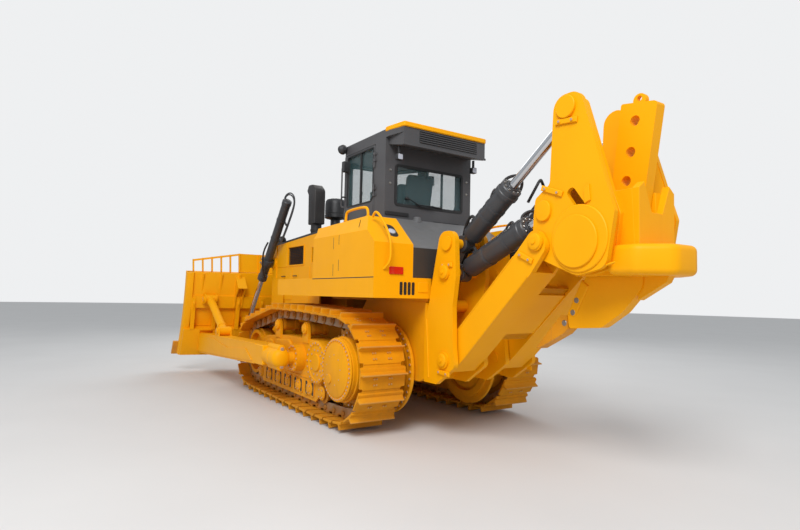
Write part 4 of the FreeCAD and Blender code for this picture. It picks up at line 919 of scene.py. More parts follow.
# Black paint; the same finish darkens the vent slots and lamp recess as painted shade.
BLACK = Coated("hood_black_paint", "dark", (0.014, 0.014, 0.015), (0.022, 0.022, 0.023), 0.42, gloss=0.4,
    streaks=0.1, streak_colour=(0.06, 0.055, 0.05), dust_top=0.15, chips=0.2, chip_colour=(0.12, 0.11, 0.1))
TANK_GREY = Coated("tank_grey_paint", "grey", (0.15, 0.152, 0.157), (0.128, 0.13, 0.134), 0.42, gloss=0.4,
    streaks=0.12, streak_colour=(0.055, 0.05, 0.045), dust_top=0.06, dust_height=1.0, chips=0.2)
# Dark finish of the tank's rear panel; the same finish fills the roller frame windows as painted shade.
TANK_DARK = Coated("tank_rear_dark_paint", "grey", (0.038, 0.034, 0.031), (0.048, 0.042, 0.037), 0.5,
    gloss=0.35, streaks=0.2, streak_colour=(0.09, 0.07, 0.05), chips=0.2)
STEEL = Coated("worn_bare_steel", "steel", (0.34, 0.33, 0.31), (0.26, 0.24, 0.22), 0.38, metal=0.85,
    streaks=0.35, streak_colour=(0.16, 0.09, 0.05), dust=0.4, dust_height=1.0, peel=0.0009)
EDGE = Coated("cutting_edge_paint_and_wear", "steel", (0.78, 0.31, 0.004), (0.62, 0.25, 0.01), 0.5, gloss=0.3,
    streaks=0.3, streak_colour=(0.24, 0.14, 0.06), dust=0.3, dust_height=0.7, chips=0.8,
    chip_colour=(0.3, 0.26, 0.2), peel=0.0012)
CHROME = Coated("rod_chrome", "chrome", (0.62, 0.63, 0.65), (0.56, 0.57, 0.59), 0.14, metal=1.0, streaks=0.06,
    streak_colour=(0.4, 0.38, 0.34), peel=0.0001)
RAM_GREY = Coated("ram_dark_paint", "dark", (0.04, 0.041, 0.045), (0.055, 0.056, 0.06), 0.38, gloss=0.45,
    streaks=0.12, streak_colour=(0.1, 0.09, 0.08), dust_top=0.1, chips=0.25)
SOOT = Coated("stack_sooty_steel", "steel", (0.024, 0.022, 0.023), (0.04, 0.036, 0.034), 0.5, metal=0.2,
    streaks=0.3, streak_colour=(0.08, 0.05, 0.035), dust_top=0.08, peel=0.001)
BOLT = Coated("zinc_bolt_heads", "steel", (0.3, 0.29, 0.27), (0.22, 0.2, 0.17), 0.4, metal=0.8, streaks=0.2,
    dust=0.5, dust_height=1.0)
GLASS = Pane("tinted_cab_glass", "glass")
SEAT_CLOTH = Cloth("seat_cloth", "fabric")
RUBBER = Moulded("black_rubber", "plastic", colour=(0.016, 0.016, 0.017), rough=0.62, grain=180.0)
PLASTIC = Moulded("moulded_plastic", "plastic", colour=(0.022, 0.022, 0.024), rough=0.48)
# Lamp glass: its bright bluish base colour is a painted glint from the reflector behind it.
LAMP = Lens("lamp_glass", "glass", colour=(0.55, 0.58, 0.66))
REFLECTOR = Lens("red_reflector", "plastic", colour=(0.72, 0.012, 0.006))


class Bench:
  """Turns skins into the scene's pieces."""

  def __init__(self) -> None:
    """Start with nothing made."""
    self.made: list[str] = []

  def put(self, name: str, body: str, finish: Finish, skins: Sequence[Skin], stands_for: Sequence[str] = (),
      crease: float = 32.0) -> bpy.types.Object:
    """Make one piece from several skins.

    Args:
      name: Name of the piece.
      body: Body that it rides on.
      finish: Its finish.
      skins: Surfaces in the sprocket frame.
      stands_for: Nodes that it replaces.
      crease: Angle in degrees above which an edge stays sharp.
    Returns:
      The object.
    """
    skin = joined(list(skins)).moved(x=SPROCKET_X)
    mesh = bpy.data.meshes.new(name)
    mesh.from_pydata(skin.points.tolist(), [], skin.faces)
    mesh.polygons.foreach_set("use_smooth", np.ones(len(mesh.polygons), bool))
    mesh.attributes.new("worn", "FLOAT", "POINT").data.foreach_set("value", skin.worn().astype(np.float32))
    mesh.update()
    mesh.set_sharp_from_angle(angle=math.radians(crease))
    mesh.materials.append(finish.material())
    made = bpy.data.objects.new(name, mesh)
    bpy.context.scene.collection.objects.link(made)
    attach(made, body)
    if stands_for:
      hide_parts(*stands_for)
    self.made.append(name)
    log.info("%s on %s, %d faces", name, body, len(mesh.polygons))
    return made

  def fit(self, body: str, **rows: tuple[Finish, Skin]) -> None:
    """Make one piece for each name, of its finish and surface."""
    for name, (finish, skin) in rows.items():
      self.put(name, body, finish, [skin])

  def fit_both(self, body: str, **rows: tuple[Finish, Skin]) -> None:
    """Make one piece for each name, its surface drawn for the left and made on both sides."""
    self.fit(body, **{name: (finish, skin.both()) for name, (finish, skin) in rows.items()})

  def paint(self, finish: Finish, *nodes: str) -> None:
    """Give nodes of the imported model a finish.

    Args:
      finish: The finish.
      nodes: Names of the nodes.
    """
    for node in nodes:
      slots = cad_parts[node].data.materials
      slots.clear()
      slots.append(finish.material())
      log.info("%s finished as %s", node, finish.name)


@dataclass
class Tracks:
  """Shoes, links and pins of both track chains."""

  middle: float = 1.13
  pitch: float = 0.26
  count: int = 39
  shoe_half: float = 0.305
  plate_high: float = 0.092
  rail_middle: float = 0.1025
  wheels: tuple[Triple, ...] = ((0.0, 0.745, 0.55863), (0.62, 0.3484, 0.1804), (3.02, 0.3484, 0.1804),
      (3.4509, 0.64, 0.46406), (2.27, 1.177, 0.1704), (1.2, 1.177, 0.1704))

  def pins(self) -> tuple[Array, Array]:
    """Pin places and axes of the links.

    Returns:
      (n, 3) pins in the side plane and (n, 3, 3) frames with columns along, across and outward.
    """
    x, z, r = np.array(self.wheels).T
    gap_x, gap_z = np.roll(x, -1) - x, np.roll(z, -1) - z
    turn = np.arctan2(gap_z, gap_x) - np.arccos((r - np.roll(r, -1)) / np.hypot(gap_x, gap_z))
    came = np.roll(turn, 1)
    sweep = (turn - came) % (2 * math.pi)
    angles = came[:, None] + sweep[:, None] * np.linspace(0, 1, 90)
    belt = np.stack([x[:, None] + r[:, None] * np.cos(angles), z[:, None] + r[:, None] * np.sin(angles)],
        axis=-1)
    belt = belt.reshape(-1, 2)
    belt = np.concatenate([belt, belt[:1]])
    reach = np.concatenate([[0.0], np.cumsum(np.linalg.norm(np.diff(belt, axis=0), axis=1))])
    steps = np.arange(self.count) * reach[-1] / self.count
    pins = np.stack([np.interp(steps, reach, belt[:, i]) for i in range(2)], axis=1)
    ahead = unit(np.roll(pins, -1, axis=0) - pins)
    zero = np.zeros(self.count)
    along = np.stack([ahead[:, 0], zero, ahead[:, 1]], axis=1)
    outward = np.stack([ahead[:, 1], zero, -ahead[:, 0]], axis=1)
    across = np.broadcast_to([0.0, 1.0, 0.0], (self.count, 3))
    places = np.stack([pins[:, 0], zero, pins[:, 1]], axis=1)
    return places, np.stack([along, across, outward], axis=2)

  def shoe(self) -> Skin:
    """One shoe: its section (along, outward) carried across, its ends trimmed by clipping along.

    Returns:
      The surface.
    """
    section = np.array(mm([(-47, 58), (-50, 63), (-40, 66), (-18, 69), (-12, 88), (4, 93), (26, 95),
        (36, 108), (41, 150), (43, 165), (47, 168), (56, 168), (60, 165), (63, 150), (68, 108), (80, 95),
        (150, 92), (218, 92), (234, 88), (240, 79), (236, 71), (212, 70), (100, 70), (0, 66)]))
    half = self.shoe_half
    stations = np.array([-half, -half + 0.004, -half + 0.045, -half + 0.05, half - 0.05, half - 0.045, half
        - 0.004, half])
    trim = np.array([0.03, 0.026, 0.022, 0.0, 0.0, 0.022, 0.026, 0.03])
    along = np.clip(section[None, :, 0], -0.05 + trim[:, None], 0.24 - trim[:, None])
    out = np.broadcast_to(section[:, 1], along.shape).copy()
    out[[0, -1]] = 0.5 * out[[0, -1]] + 0.5 * out[[0, -1]].mean(axis=1, keepdims=True)
    across = np.broadcast_to(stations[:, None], along.shape)
    skin = woven(np.stack([along, across, out], axis=-1))
    worn = eased((skin.points[:, 2] - 0.16) / 0.008) * 0.45
    return Skin(skin.points, skin.faces, worn)

  def link(self, inner: bool) -> Skin:
    """One link plate, drawn flat and shifted sideways towards its far boss.

    Args:
      inner: Whether it is the inner plate.
    Returns:
      The surface.
    """
    outline = mm([(-60, 2), (-52, -36), (-26, -62), (20, -70), (242, -70), (286, -62), (312, -36), (320, 2),
        (312, 34), (290, 56), (240, 60), (226, 69), (166, 69), (158, 40), (102, 40), (94, 69), (36, 69),
        (26, 60), (-30, 56), (-52, 34)])
    plate = slab(outline, -0.022, 0.0, SIDE, 0.003)
    sign = -1.0 if inner else 1.0
    shift = eased((plate.points[:, 0] - 0.07) / 0.12) * 0.0225
    points = plate.points.copy()
    points[:, 1] = sign * (points[:, 1] + shift + self.rail_middle)
    worn = eased((-points[:, 2] - 0.055) / 0.012) * 0.8
    return Skin(points, plate.faces, worn).outward()

  def build(self, bench: Bench, side: Side) -> None:
    """Both the shoes and the chain of one side.

    Args:
      bench: Where pieces are made.
      side: Side of the machine.
    """
    places, frames = self.pins()
    places = places + np.array([0.0, self.middle * side.value, 0.0])
    word = side.name.lower()
    head_places = [(t, y, self.plate_high) for t in (0.108, 0.178) for y in (-0.118, -0.085, 0.085, 0.118)]
    heads = bolts(head_places, UP, 0.0135, False)
    grip = self.shoe()
    bench.put(f"track_{word}_shoes", "hull", SHOE, [joined([grip, heads]).copies(places, frames)],
        stands_for=[f"track_{word}"])
    pin = lathe(mm([(26, -137), (31, -132), (31, 132), (26, 137)]), ORIGIN, ACROSS, 12)
    bushing = lathe([(0.044, -0.076), (0.044, 0.076)], ORIGIN, ACROSS, 12)
    chain = joined([self.link(True), self.link(False), pin, bushing])
    bench.put(f"track_{word}_chain", "hull", CHAIN, [chain.copies(places, frames)])


@dataclass
class RunningGear:
  """Dressing of hubs, roller frames, rollers, idlers and sprockets."""

  hub_height: float = 0.745
  frame_outer: float = 1.3
  roller_height: float = 0.3484
  roller_rows: Array = field(default_factory=lambda: 0.62 + 0.4 * np.arange(7))
  pivot: Pair = (0.75, 0.745)
  idler: Pair = (3.4509, 0.64)

  def hub(self) -> tuple[Skin, Skin]:
    """Flange ring, cover domed by 40 mm (1 - (r / 332 mm)^2) and case flange of a final drive, with bolts.

    Returns:
      The rings and their bolts.
    """
    centre = (0.0, 0.0, self.hub_height)
    radii = np.array([0.332, 0.326, 0.3, 0.24, 0.16, 0.08, 0.006])
    dome = np.stack([radii, 1.424 + 0.04 * (1.0 - (radii / 0.332) ** 2) + 0.004], axis=1)
    rings = [
        lathe(mm([(391, 1292), (404, 1300), (404, 1330), (391, 1338)]), centre, sides=64),
        lathe(mm([(300, 1396), (384, 1396), (391, 1402), (391, 1412), (384, 1419), (334, 1419), (330, 1425)]),
            centre, sides=64),
        lathe([(0.332, 1.4), *dome.tolist()], centre, sides=64),
        lathe(mm([(480, 640), (572, 640), (580, 650), (580, 676), (572, 684), (480, 684)]), centre, sides=72,
            ring=True),
        lathe(mm([(400, 600), (490, 600), (490, 690), (400, 690)]), centre, sides=64, ring=True),
        lathe(mm([(60, 1440), (60, 1468), (52, 1474), (10, 1474)]), (0.1, 0, self.hub_height - 0.12),
            sides=20)
    ]
    heads = [
      bolt_circle((0.0, 1.419, self.hub_height), ACROSS, 0.362, 42, 0.0115),
      bolt_circle((0.0, 1.45, self.hub_height), ACROSS, 0.185, 9, 0.0085, 0.1),
      bolt_circle((0.0, 0.684, self.hub_height), ACROSS, 0.55, 40, 0.015),
    ]
    return joined(rings), joined(heads)

  def roller_caps(self) -> tuple[Skin, Skin]:
    """End caps of the rollers on the skirt, with their bolts.

    Returns:
      The caps and their bolts.
    """
    profile = mm([(92, 0), (92, 12), (78, 22), (50, 22), (44, 32), (20, 32)])
    places = np.stack([self.roller_rows, np.full(7, self.frame_outer), np.full(7, self.roller_height)],
        axis=1)
    caps = lathe(profile, ORIGIN, sides=24).copies(places)
    angles = np.pi / 4 + np.arange(4) * np.pi / 2
    ring = np.stack([0.066 * np.cos(angles), np.full(4, 0.021), 0.066 * np.sin(angles)], axis=1)
    return caps, bolts((places[:, None, :] + ring[None]).reshape(-1, 3), ACROSS, 0.011)

  def frame_face(self) -> tuple[Skin, Skin, Skin]:
    """Pivot cover, carrier bosses, roller windows, weld seams and idler guides on a roller frame.

    Returns:
      The plates, their bolts and the dark sheets of painted shade in the windows.
    """
    px, pz = self.pivot
    y = self.frame_outer
    parts = [
        lathe([(0.29, y + 0.03), (0.29, y + 0.042), (0.28, y + 0.048), (0.238, y + 0.048), (0.23, y + 0.04)],
            (px, 0, pz), sides=48),
        lathe([(0.12, y + 0.034), (0.12, y + 0.052), (0.11, y + 0.06), (0.02, y + 0.064)], (px, 0, pz),
            sides=32),
        cushioned(filleted(mm([(2460, 600), (2980, 580), (2980, 840, 50), (2600, 930, 80), (2460, 900)])), y
            - 0.01, y + 0.03, 0.02, SIDE),
        cushioned(filleted(mm([(1600, 580, 50), (2300, 600, 50), (2300, 950, 60), (1780, 980, 80),
            (1600, 880, 50)])), y - 0.01, y + 0.04, 0.025, SIDE),
        weld([(0.68, y + 0.002, 0.492), (3.02, y + 0.002, 0.492)], 0.01),
        slab(mm([(3060, 555), (3560, 570), (3560, 710), (3060, 770)]), 1.332, 1.346),
        lathe(mm([(85, 1330), (85, 1352), (70, 1362), (30, 1362)]), (self.idler[0], 0, self.idler[1]),
            sides=24)
    ]
    for ahead in (1.2, 2.27):
      parts.append(lathe([(0.078, y + 0.012), (0.078, y + 0.036), (0.066, y + 0.048), (0.04, y + 0.048),
          (0.036, y + 0.058), (0.01, y + 0.058)], (ahead, 0, 1.17), sides=28))
    window_shade_sheets = []
    for ahead in self.roller_rows[1:-1]:
      for near in (ahead - 0.16, ahead + 0.045):
        hole = soft_box(near, 0.25, near + 0.115, 0.462, 0.045)
        parts.append(rim(hole, 0.013, y - 0.001, y + 0.013, SIDE))
        # Thin dark sheet in each window: painted shade where the opening would be dark.
        window_shade_sheets.append(slab(inset(hole, 0.012), y - 0.001, y + 0.002, chamfer=0.0005))
    heads = [
      bolt_circle((px, y + 0.048, pz), ACROSS, 0.26, 20, 0.013),
      bolt_circle((px, y + 0.034, pz), ACROSS, 0.17, 10, 0.014),
      bolts(row_of((2.54, y + 0.03, 0.65), (2.9, y + 0.03, 0.64), 3), ACROSS, 0.016),
      bolts(row_of((1.7, y + 0.04, 0.66), (2.2, y + 0.04, 0.67), 3), ACROSS, 0.016),
      bolts(mm([(3140, 1346, 620), (3140, 1346, 700), (3360, 1346, 620)]), ACROSS, 0.014),
      bolt_circle((self.idler[0], 1.352, self.idler[1]), ACROSS, 0.076, 6, 0.009),
      bolt_circle((1.37, 1.43, 0.75), ACROSS, 0.165, 14, 0.014),
    ]
    return joined(parts), joined(heads), joined(window_shade_sheets)

  def sprocket_segments(self) -> Skin:
    """Bolts of the sprocket rim, seen past the inner face of the chain."""
    return bolt_circle((0.0, 1.188, self.hub_height), ACROSS, 0.46, 30, 0.016)

  def build(self, bench: Bench) -> None:
    """Dress both sides.

    Args:
      bench: Where pieces are made.
    """
    bench.paint(LOW_YELLOW, "track_frames", "final_drives", "idlers")
    bench.paint(CAST, "sprockets", "bottom_rollers", "carrier_rollers")
    rings, heads = self.hub()
    bench.put("hub_rings", "hull", LOW_YELLOW, [rings.both()])
    caps, cap_heads = self.roller_caps()
    bench.put("roller_end_caps", "hull", LOW_YELLOW, [caps.both()])
    plates, plate_heads, window_shade_sheets = self.frame_face()
    bench.fit_both("hull", roller_window_shadows=(TANK_DARK, window_shade_sheets), roller_frame_plates=(LOW_YELLOW, plates))
    bolts_all = joined([heads, cap_heads, plate_heads, self.sprocket_segments()])
    bench.put("running_gear_bolts", "hull", LOW_YELLOW, [bolts_all.both()])


@dataclass
class BladeGear:
  """Dressing of the blade, its arms, braces and lift cylinders."""

  trunnion: Pair = (1.37, 0.75)
  arm_inner: float = 1.49
  arm_outer: float = 1.74
  lift_pin: Pair = (4.19, 2.26)
  lift_eye: Pair = (5.24, 1.06)
  lift_side: float = 0.85
  foot: Pair = (5.9, 0.395)
  tall: float = 1.69
  lean: float = 0.59
  hollow: float = 0.11
  centre_half: float = 1.06
  wing: float = math.tan(math.radians(14))

  def face(self, share: Array, out: Array | float, y: Array) -> Array:
    """Points on the blade: chord point + normal (4 s (1 - s) hollow + out), led forward on the wings.

    Args:
      share: Height up the chord, 0 at the foot to 1 at the top.
      out: Distance behind the front face.
      y: Distance across.
    Returns:
      (n, 3) points.
    """
    share, out, y = np.broadcast_arrays(np.asarray(share, float), out, y)
    chord = np.array([-self.lean, self.tall])
    normal = unit(np.array([-chord[1], chord[0]]))
    bow = 4 * share * (1 - share) * self.hollow + out
    flat = np.array(self.foot) + share[..., None] * chord + bow[..., None] * normal
    lead = np.maximum(0.0, np.abs(y) - self.centre_half) * self.wing
    return np.stack([flat[..., 0] + lead, y, flat[..., 1]], axis=-1)

  def arm(self) -> tuple[Skin, Skin]:
    """One push arm: box beam with a side plate, socket barrel along X, ball cap, brace ears and bolts.

    Returns:
      The arm and its bolts.
    """
    z = self.trunnion[1]
    middle = (self.arm_inner + self.arm_outer) / 2
    beam = filleted([(1.74, 0.606, 0.03), (2.1, 0.596), (5.0, 0.45), (5.5995, 0.43), (5.5995, 0.81),
        (5.0, 0.84), (2.1, 0.9), (1.74, 0.9, 0.03)])
    flank = mm([(5560, 455), (5560, 775), (4480, 800), (3520, 705), (2540, 790), (2200, 630), (3600, 548)])
    barrel = lathe(mm([(20, 1262), (70, 1268), (108, 1286), (130, 1314), (138, 1345), (138, 1500),
        (130, 1508), (130, 1524), (138, 1532), (138, 1780)]), (0, middle, z), AHEAD, 40)
    ear = filleted(mm([(4150, 820), (4390, 820), (4350, 1021, 70), (4170, 1021, 70)]))
    parts = [slab(beam, self.arm_inner, self.arm_outer, chamfer=0.012), barrel,
        slab(flank, self.arm_outer - 0.002, self.arm_outer + 0.012),
        slab(ear, middle - 0.12, middle - 0.095), slab(ear, middle + 0.095, middle + 0.12)]
    heads = []
    for high in (z + 0.13, z - 0.118):
      parts.append(lathe(mm([(52, 1318), (58, 1326), (58, 1740)]), (0, middle, high), AHEAD, 24))
      heads.append(bolts([(1.32, middle, high)], (-1, 0, 0), 0.03))
    return joined(parts), joined(heads)

  def arm_seams(self) -> Skin:
    """Weld seams along an arm's edges and at its brace ears.

    Returns:
      The surface.
    """
    y = self.arm_outer
    low = [(2.1, y - 0.006, 0.602), (5.0, y - 0.006, 0.456), (5.585, y - 0.006, 0.436)]
    high = [(2.1, y - 0.006, 0.894), (5.0, y - 0.006, 0.834), (5.585, y - 0.006, 0.804)]
    seams = [weld(low), weld(high), weld([(p[0], self.arm_inner + 0.006, p[2]) for p in high])]
    for near in (1.508, 1.722):
      seams.append(weld([(4.16, near, 0.852), (4.38, near, 0.85)], 0.01))
    return joined(seams)

  def brace_ends(self) -> tuple[Skin, Skin]:
    """Collars, clamp and pin heads of the slanting braces.

    Returns:
      The collars with the pins, and the bolts.
    """
    foot, head = np.array([4.26, 1.615, 0.941]), np.array([5.33, 1.615, 1.52])
    along = unit(head - foot)
    reach = float(np.linalg.norm(head - foot))
    rings = []
    for near, far, high in ((0.13, 0.2, 0.012), (reach - 0.16, reach - 0.13, 0.008)):
      rings.append(lathe([(0.075, near), (0.075 + high, near + 0.006), (0.075 + high, far - 0.006),
          (0.075, far)], foot, along, 28))
    pins = []
    for end in (foot, head):
      for sign in (1, -1):
        cap = mm([(58, 0), (58, 16), (48, 22), (10, 22)])
        pins.append(lathe(cap, end + np.array([0, sign * 0.119, 0]), (0, sign, 0), 24))
    heads = [bolt_circle(end + np.array([0, 0.141, 0]), ACROSS, 0.036, 4, 0.008) for end in (foot, head)]
    return joined(rings + pins), joined(heads)

  def edge_bolts(self) -> Skin:
    """Countersunk bolt heads in a row along the cutting edge's front.

    Returns:
      The surface.
    """
    y = np.arange(0.09, 2.1, 0.155)
    y = np.concatenate([-y[::-1], y])
    places = np.concatenate([self.face(0.055, -0.047, y), self.face(0.105, -0.047, y)])
    head = lathe(mm([(24, -4), (24, 2), (16, 6)]), ORIGIN, AHEAD, 10)
    return head.copies(places)

  def nuts_behind(self) -> Skin:
    """Nuts of the edge bolts behind the wing plates."""
    y = np.arange(1.15, 2.0, 0.155)
    return bolts(np.concatenate([self.face(0.008, 0.04, y), self.face(0.008, 0.04, -y)]), (-1, 0, 0.2), 0.02)

  def back_plates(self) -> tuple[Skin, Skin]:
    """Rib flanges, upper ribs below the guard's posts, end columns and their seams behind the blade.

    Returns:
      The plates and their seams.
    """
    parts, seams = [], []
    for y in (1.06, 1.5, 1.9, 0.56):
      foot_x = self.face(0.36, 0.235, y)
      top_x = self.face(0.72, 0.13, y)
      flange = np.array([(foot_x[0] - 0.015, foot_x[2]), (top_x[0] - 0.015, top_x[2]),
          (top_x[0] + 0.01, top_x[2]), (foot_x[0] + 0.01, foot_x[2])])
      parts.append(slab(flange, y - 0.04, y + 0.04))
      seams.append(weld([foot_x + (0.0, 0.02, 0.0), top_x + (0.0, 0.02, 0.0)], 0.008))
    for y in (1.06, 1.408, 1.756):
      rib = self.face(np.array([0.995, 0.8, 0.78, 0.995]), np.array([0.088, 0.088, 0.094, 0.15]), y)[:,
          [0, 2]]
      parts.append(slab(rib, y - 0.013, y + 0.013))
    for y in (0.98, 1.12):
      peak = self.face(np.array([0.62, 0.97, 0.9, 0.865, 0.76, 0.62]),
          np.array([0.03, 0.03, 0.27, 0.31, 0.17, 0.15]), y)[:, [0, 2]]
      parts.append(slab(peak, y - 0.012, y + 0.012))
    lid = self.face(np.array([0.865, 0.975, 0.985, 0.875]), np.array([0.325, 0.03, 0.03, 0.335]), 1.05)[:,
        [0, 2]]
    parts.append(slab(lid, 0.955, 1.145))
    for share in (0.37, 0.6, 0.74):
      rows = self.face(share, 0.04 + (0.0 if share != 0.74 else 0.06), np.array([1.08, 1.3, 1.55, 1.8, 1.92]))
      seams.append(weld(rows, 0.009))
    shares = np.linspace(0.0, 1.0, 12)
    corners = [self.face(shares, out, y) for out, y in ((0.03, 2.064), (0.125, 2.064), (0.15, 2.05),
        (0.16, 1.995), (0.15, 1.94), (0.125, 1.925), (0.03, 1.925))]
    parts.append(woven(np.stack(corners, axis=1)))
    return joined(parts), joined(seams)

  def lift_dress(self) -> tuple[Skin, Skin, Skin, Skin]:
    """Barrel, steel lines, clamps, hose and bolts of a lift cylinder.

    Returns:
      The barrel, the lines with their clamps, the hose and the bolts.
    """
    pin = np.array([self.lift_pin[0], self.lift_side, self.lift_pin[1]])
    eye = np.array([self.lift_eye[0], self.lift_side, self.lift_eye[1]])
    along = unit(eye - pin)
    across, up = np.array([0.0, 1.0, 0.0]), np.cross(along, ACROSS)

    def at(reach: float, side: float, high: float) -> Array:
      """A point by its reach along the cylinder and its distance sideways and above its axis."""
      return pin + along * reach + across * side + up * high

    barrel = joined([
        lathe(mm([(50, -1440), (74, -1432), (86, -1420), (86, -1345), (79, -1338), (79, -75), (104, -68),
            (108, -60), (108, 60), (104, 68), (79, 75), (79, 330), (92, 336), (92, 425), (86, 432), (64, 434),
            (60, 448), (50, 450)]), pin, along, 40),
        lathe(mm([(50, -112), (66, -104), (66, 0)]), pin, ACROSS, 28),
        slab(box(-0.034, -0.026, 0.034, 0.026), 0.0, 0.036, PLAN).copies([at(-1.36, 0.0, 0.076),
            at(0.26, 0.0, -0.112)], np.broadcast_to(np.stack([along, across, up], axis=1), (2, 3, 3)))
    ])
    lines = []
    for offset in (0.0, 0.036):
      lines.append(pipe([
          at(-1.36, 0.0, 0.1), at(-1.4, 0.0, 0.135 + offset), at(-1.5 - offset, -0.02, 0.11),
          at(-1.56 - offset, -0.05, 0.0), at(-1.53 - offset, -0.07, -0.11), at(-1.42, -0.085, -0.14 - offset),
          at(-1.0, -0.085, -0.138 - offset), at(-0.62, -0.075, -0.125 - offset), at(-0.5, -0.04, -0.095)], 0.0125))
    hose = pipe([at(0.26, 0.0, -0.135), at(0.2, 0.06, -0.175), at(0.02, 0.13, -0.15), at(-0.2, 0.155, -0.05),
        at(-0.32, 0.13, 0.02), at(-0.44, 0.09, 0.05)], 0.017)
    clamps = [lathe([(0.077, reach), (0.085, reach + 0.003), (0.085, reach + 0.033), (0.077, reach + 0.036)],
        pin, along, 28, True) for reach in (-1.02, -0.6)]
    clamps += [slab(box(-0.016, -0.012, 0.016, 0.012), -0.15, -0.07, PLAN).copies([at(reach, -0.06, 0.0)],
        np.broadcast_to(np.stack([along, across, up], axis=1), (1, 3, 3))) for reach in (-1.0, -0.62)]
    heads = joined([
      bolt_circle(pin + along * 0.432, along, 0.074, 8, 0.01),
      bolts([at(-0.045, 0.112, 0.04), at(0.045, 0.112, 0.04)], across, 0.014),
    ])
    return barrel, joined(lines + clamps), hose, heads

  def build(self, bench: Bench) -> None:
    """Dress the blade group.

    Args:
      bench: Where pieces are made.
    """
    bench.paint(YELLOW, "blade", "spill_guard", "braces")
    bench.paint(EDGE, "cutting_edge")
    bench.paint(CHROME, "blade_lift_rods")
    arm, arm_heads = self.arm()
    rings, ring_heads = self.brace_ends()
    plates, seams = self.back_plates()
    bench.put("push_arm_beams", "blade", YELLOW, [arm.both()], stands_for=["push_arms"])
    bench.fit_both(
      "blade",
      arm_weld_seams=(YELLOW, self.arm_seams()),
      brace_collars=(YELLOW, rings),
      blade_back_plates=(YELLOW, plates),
      blade_weld_seams=(YELLOW, seams),
      blade_group_bolts=(YELLOW, joined([arm_heads, ring_heads]))
    )
    bench.put("cutting_edge_bolts", "blade", STEEL, [self.edge_bolts(), self.nuts_behind()])
    barrel, lines, hose, heads = self.lift_dress()
    bench.put("lift_ram_barrels", "blade_lift_barrels", RAM_GREY, [barrel.both()],
        stands_for=["blade_lift_barrels"])
    bench.fit_both(
        "blade_lift_barrels", lift_ram_lines=(RAM_GREY, lines), lift_ram_hoses=(RUBBER, hose),
        lift_ram_bolts=(BOLT, heads))


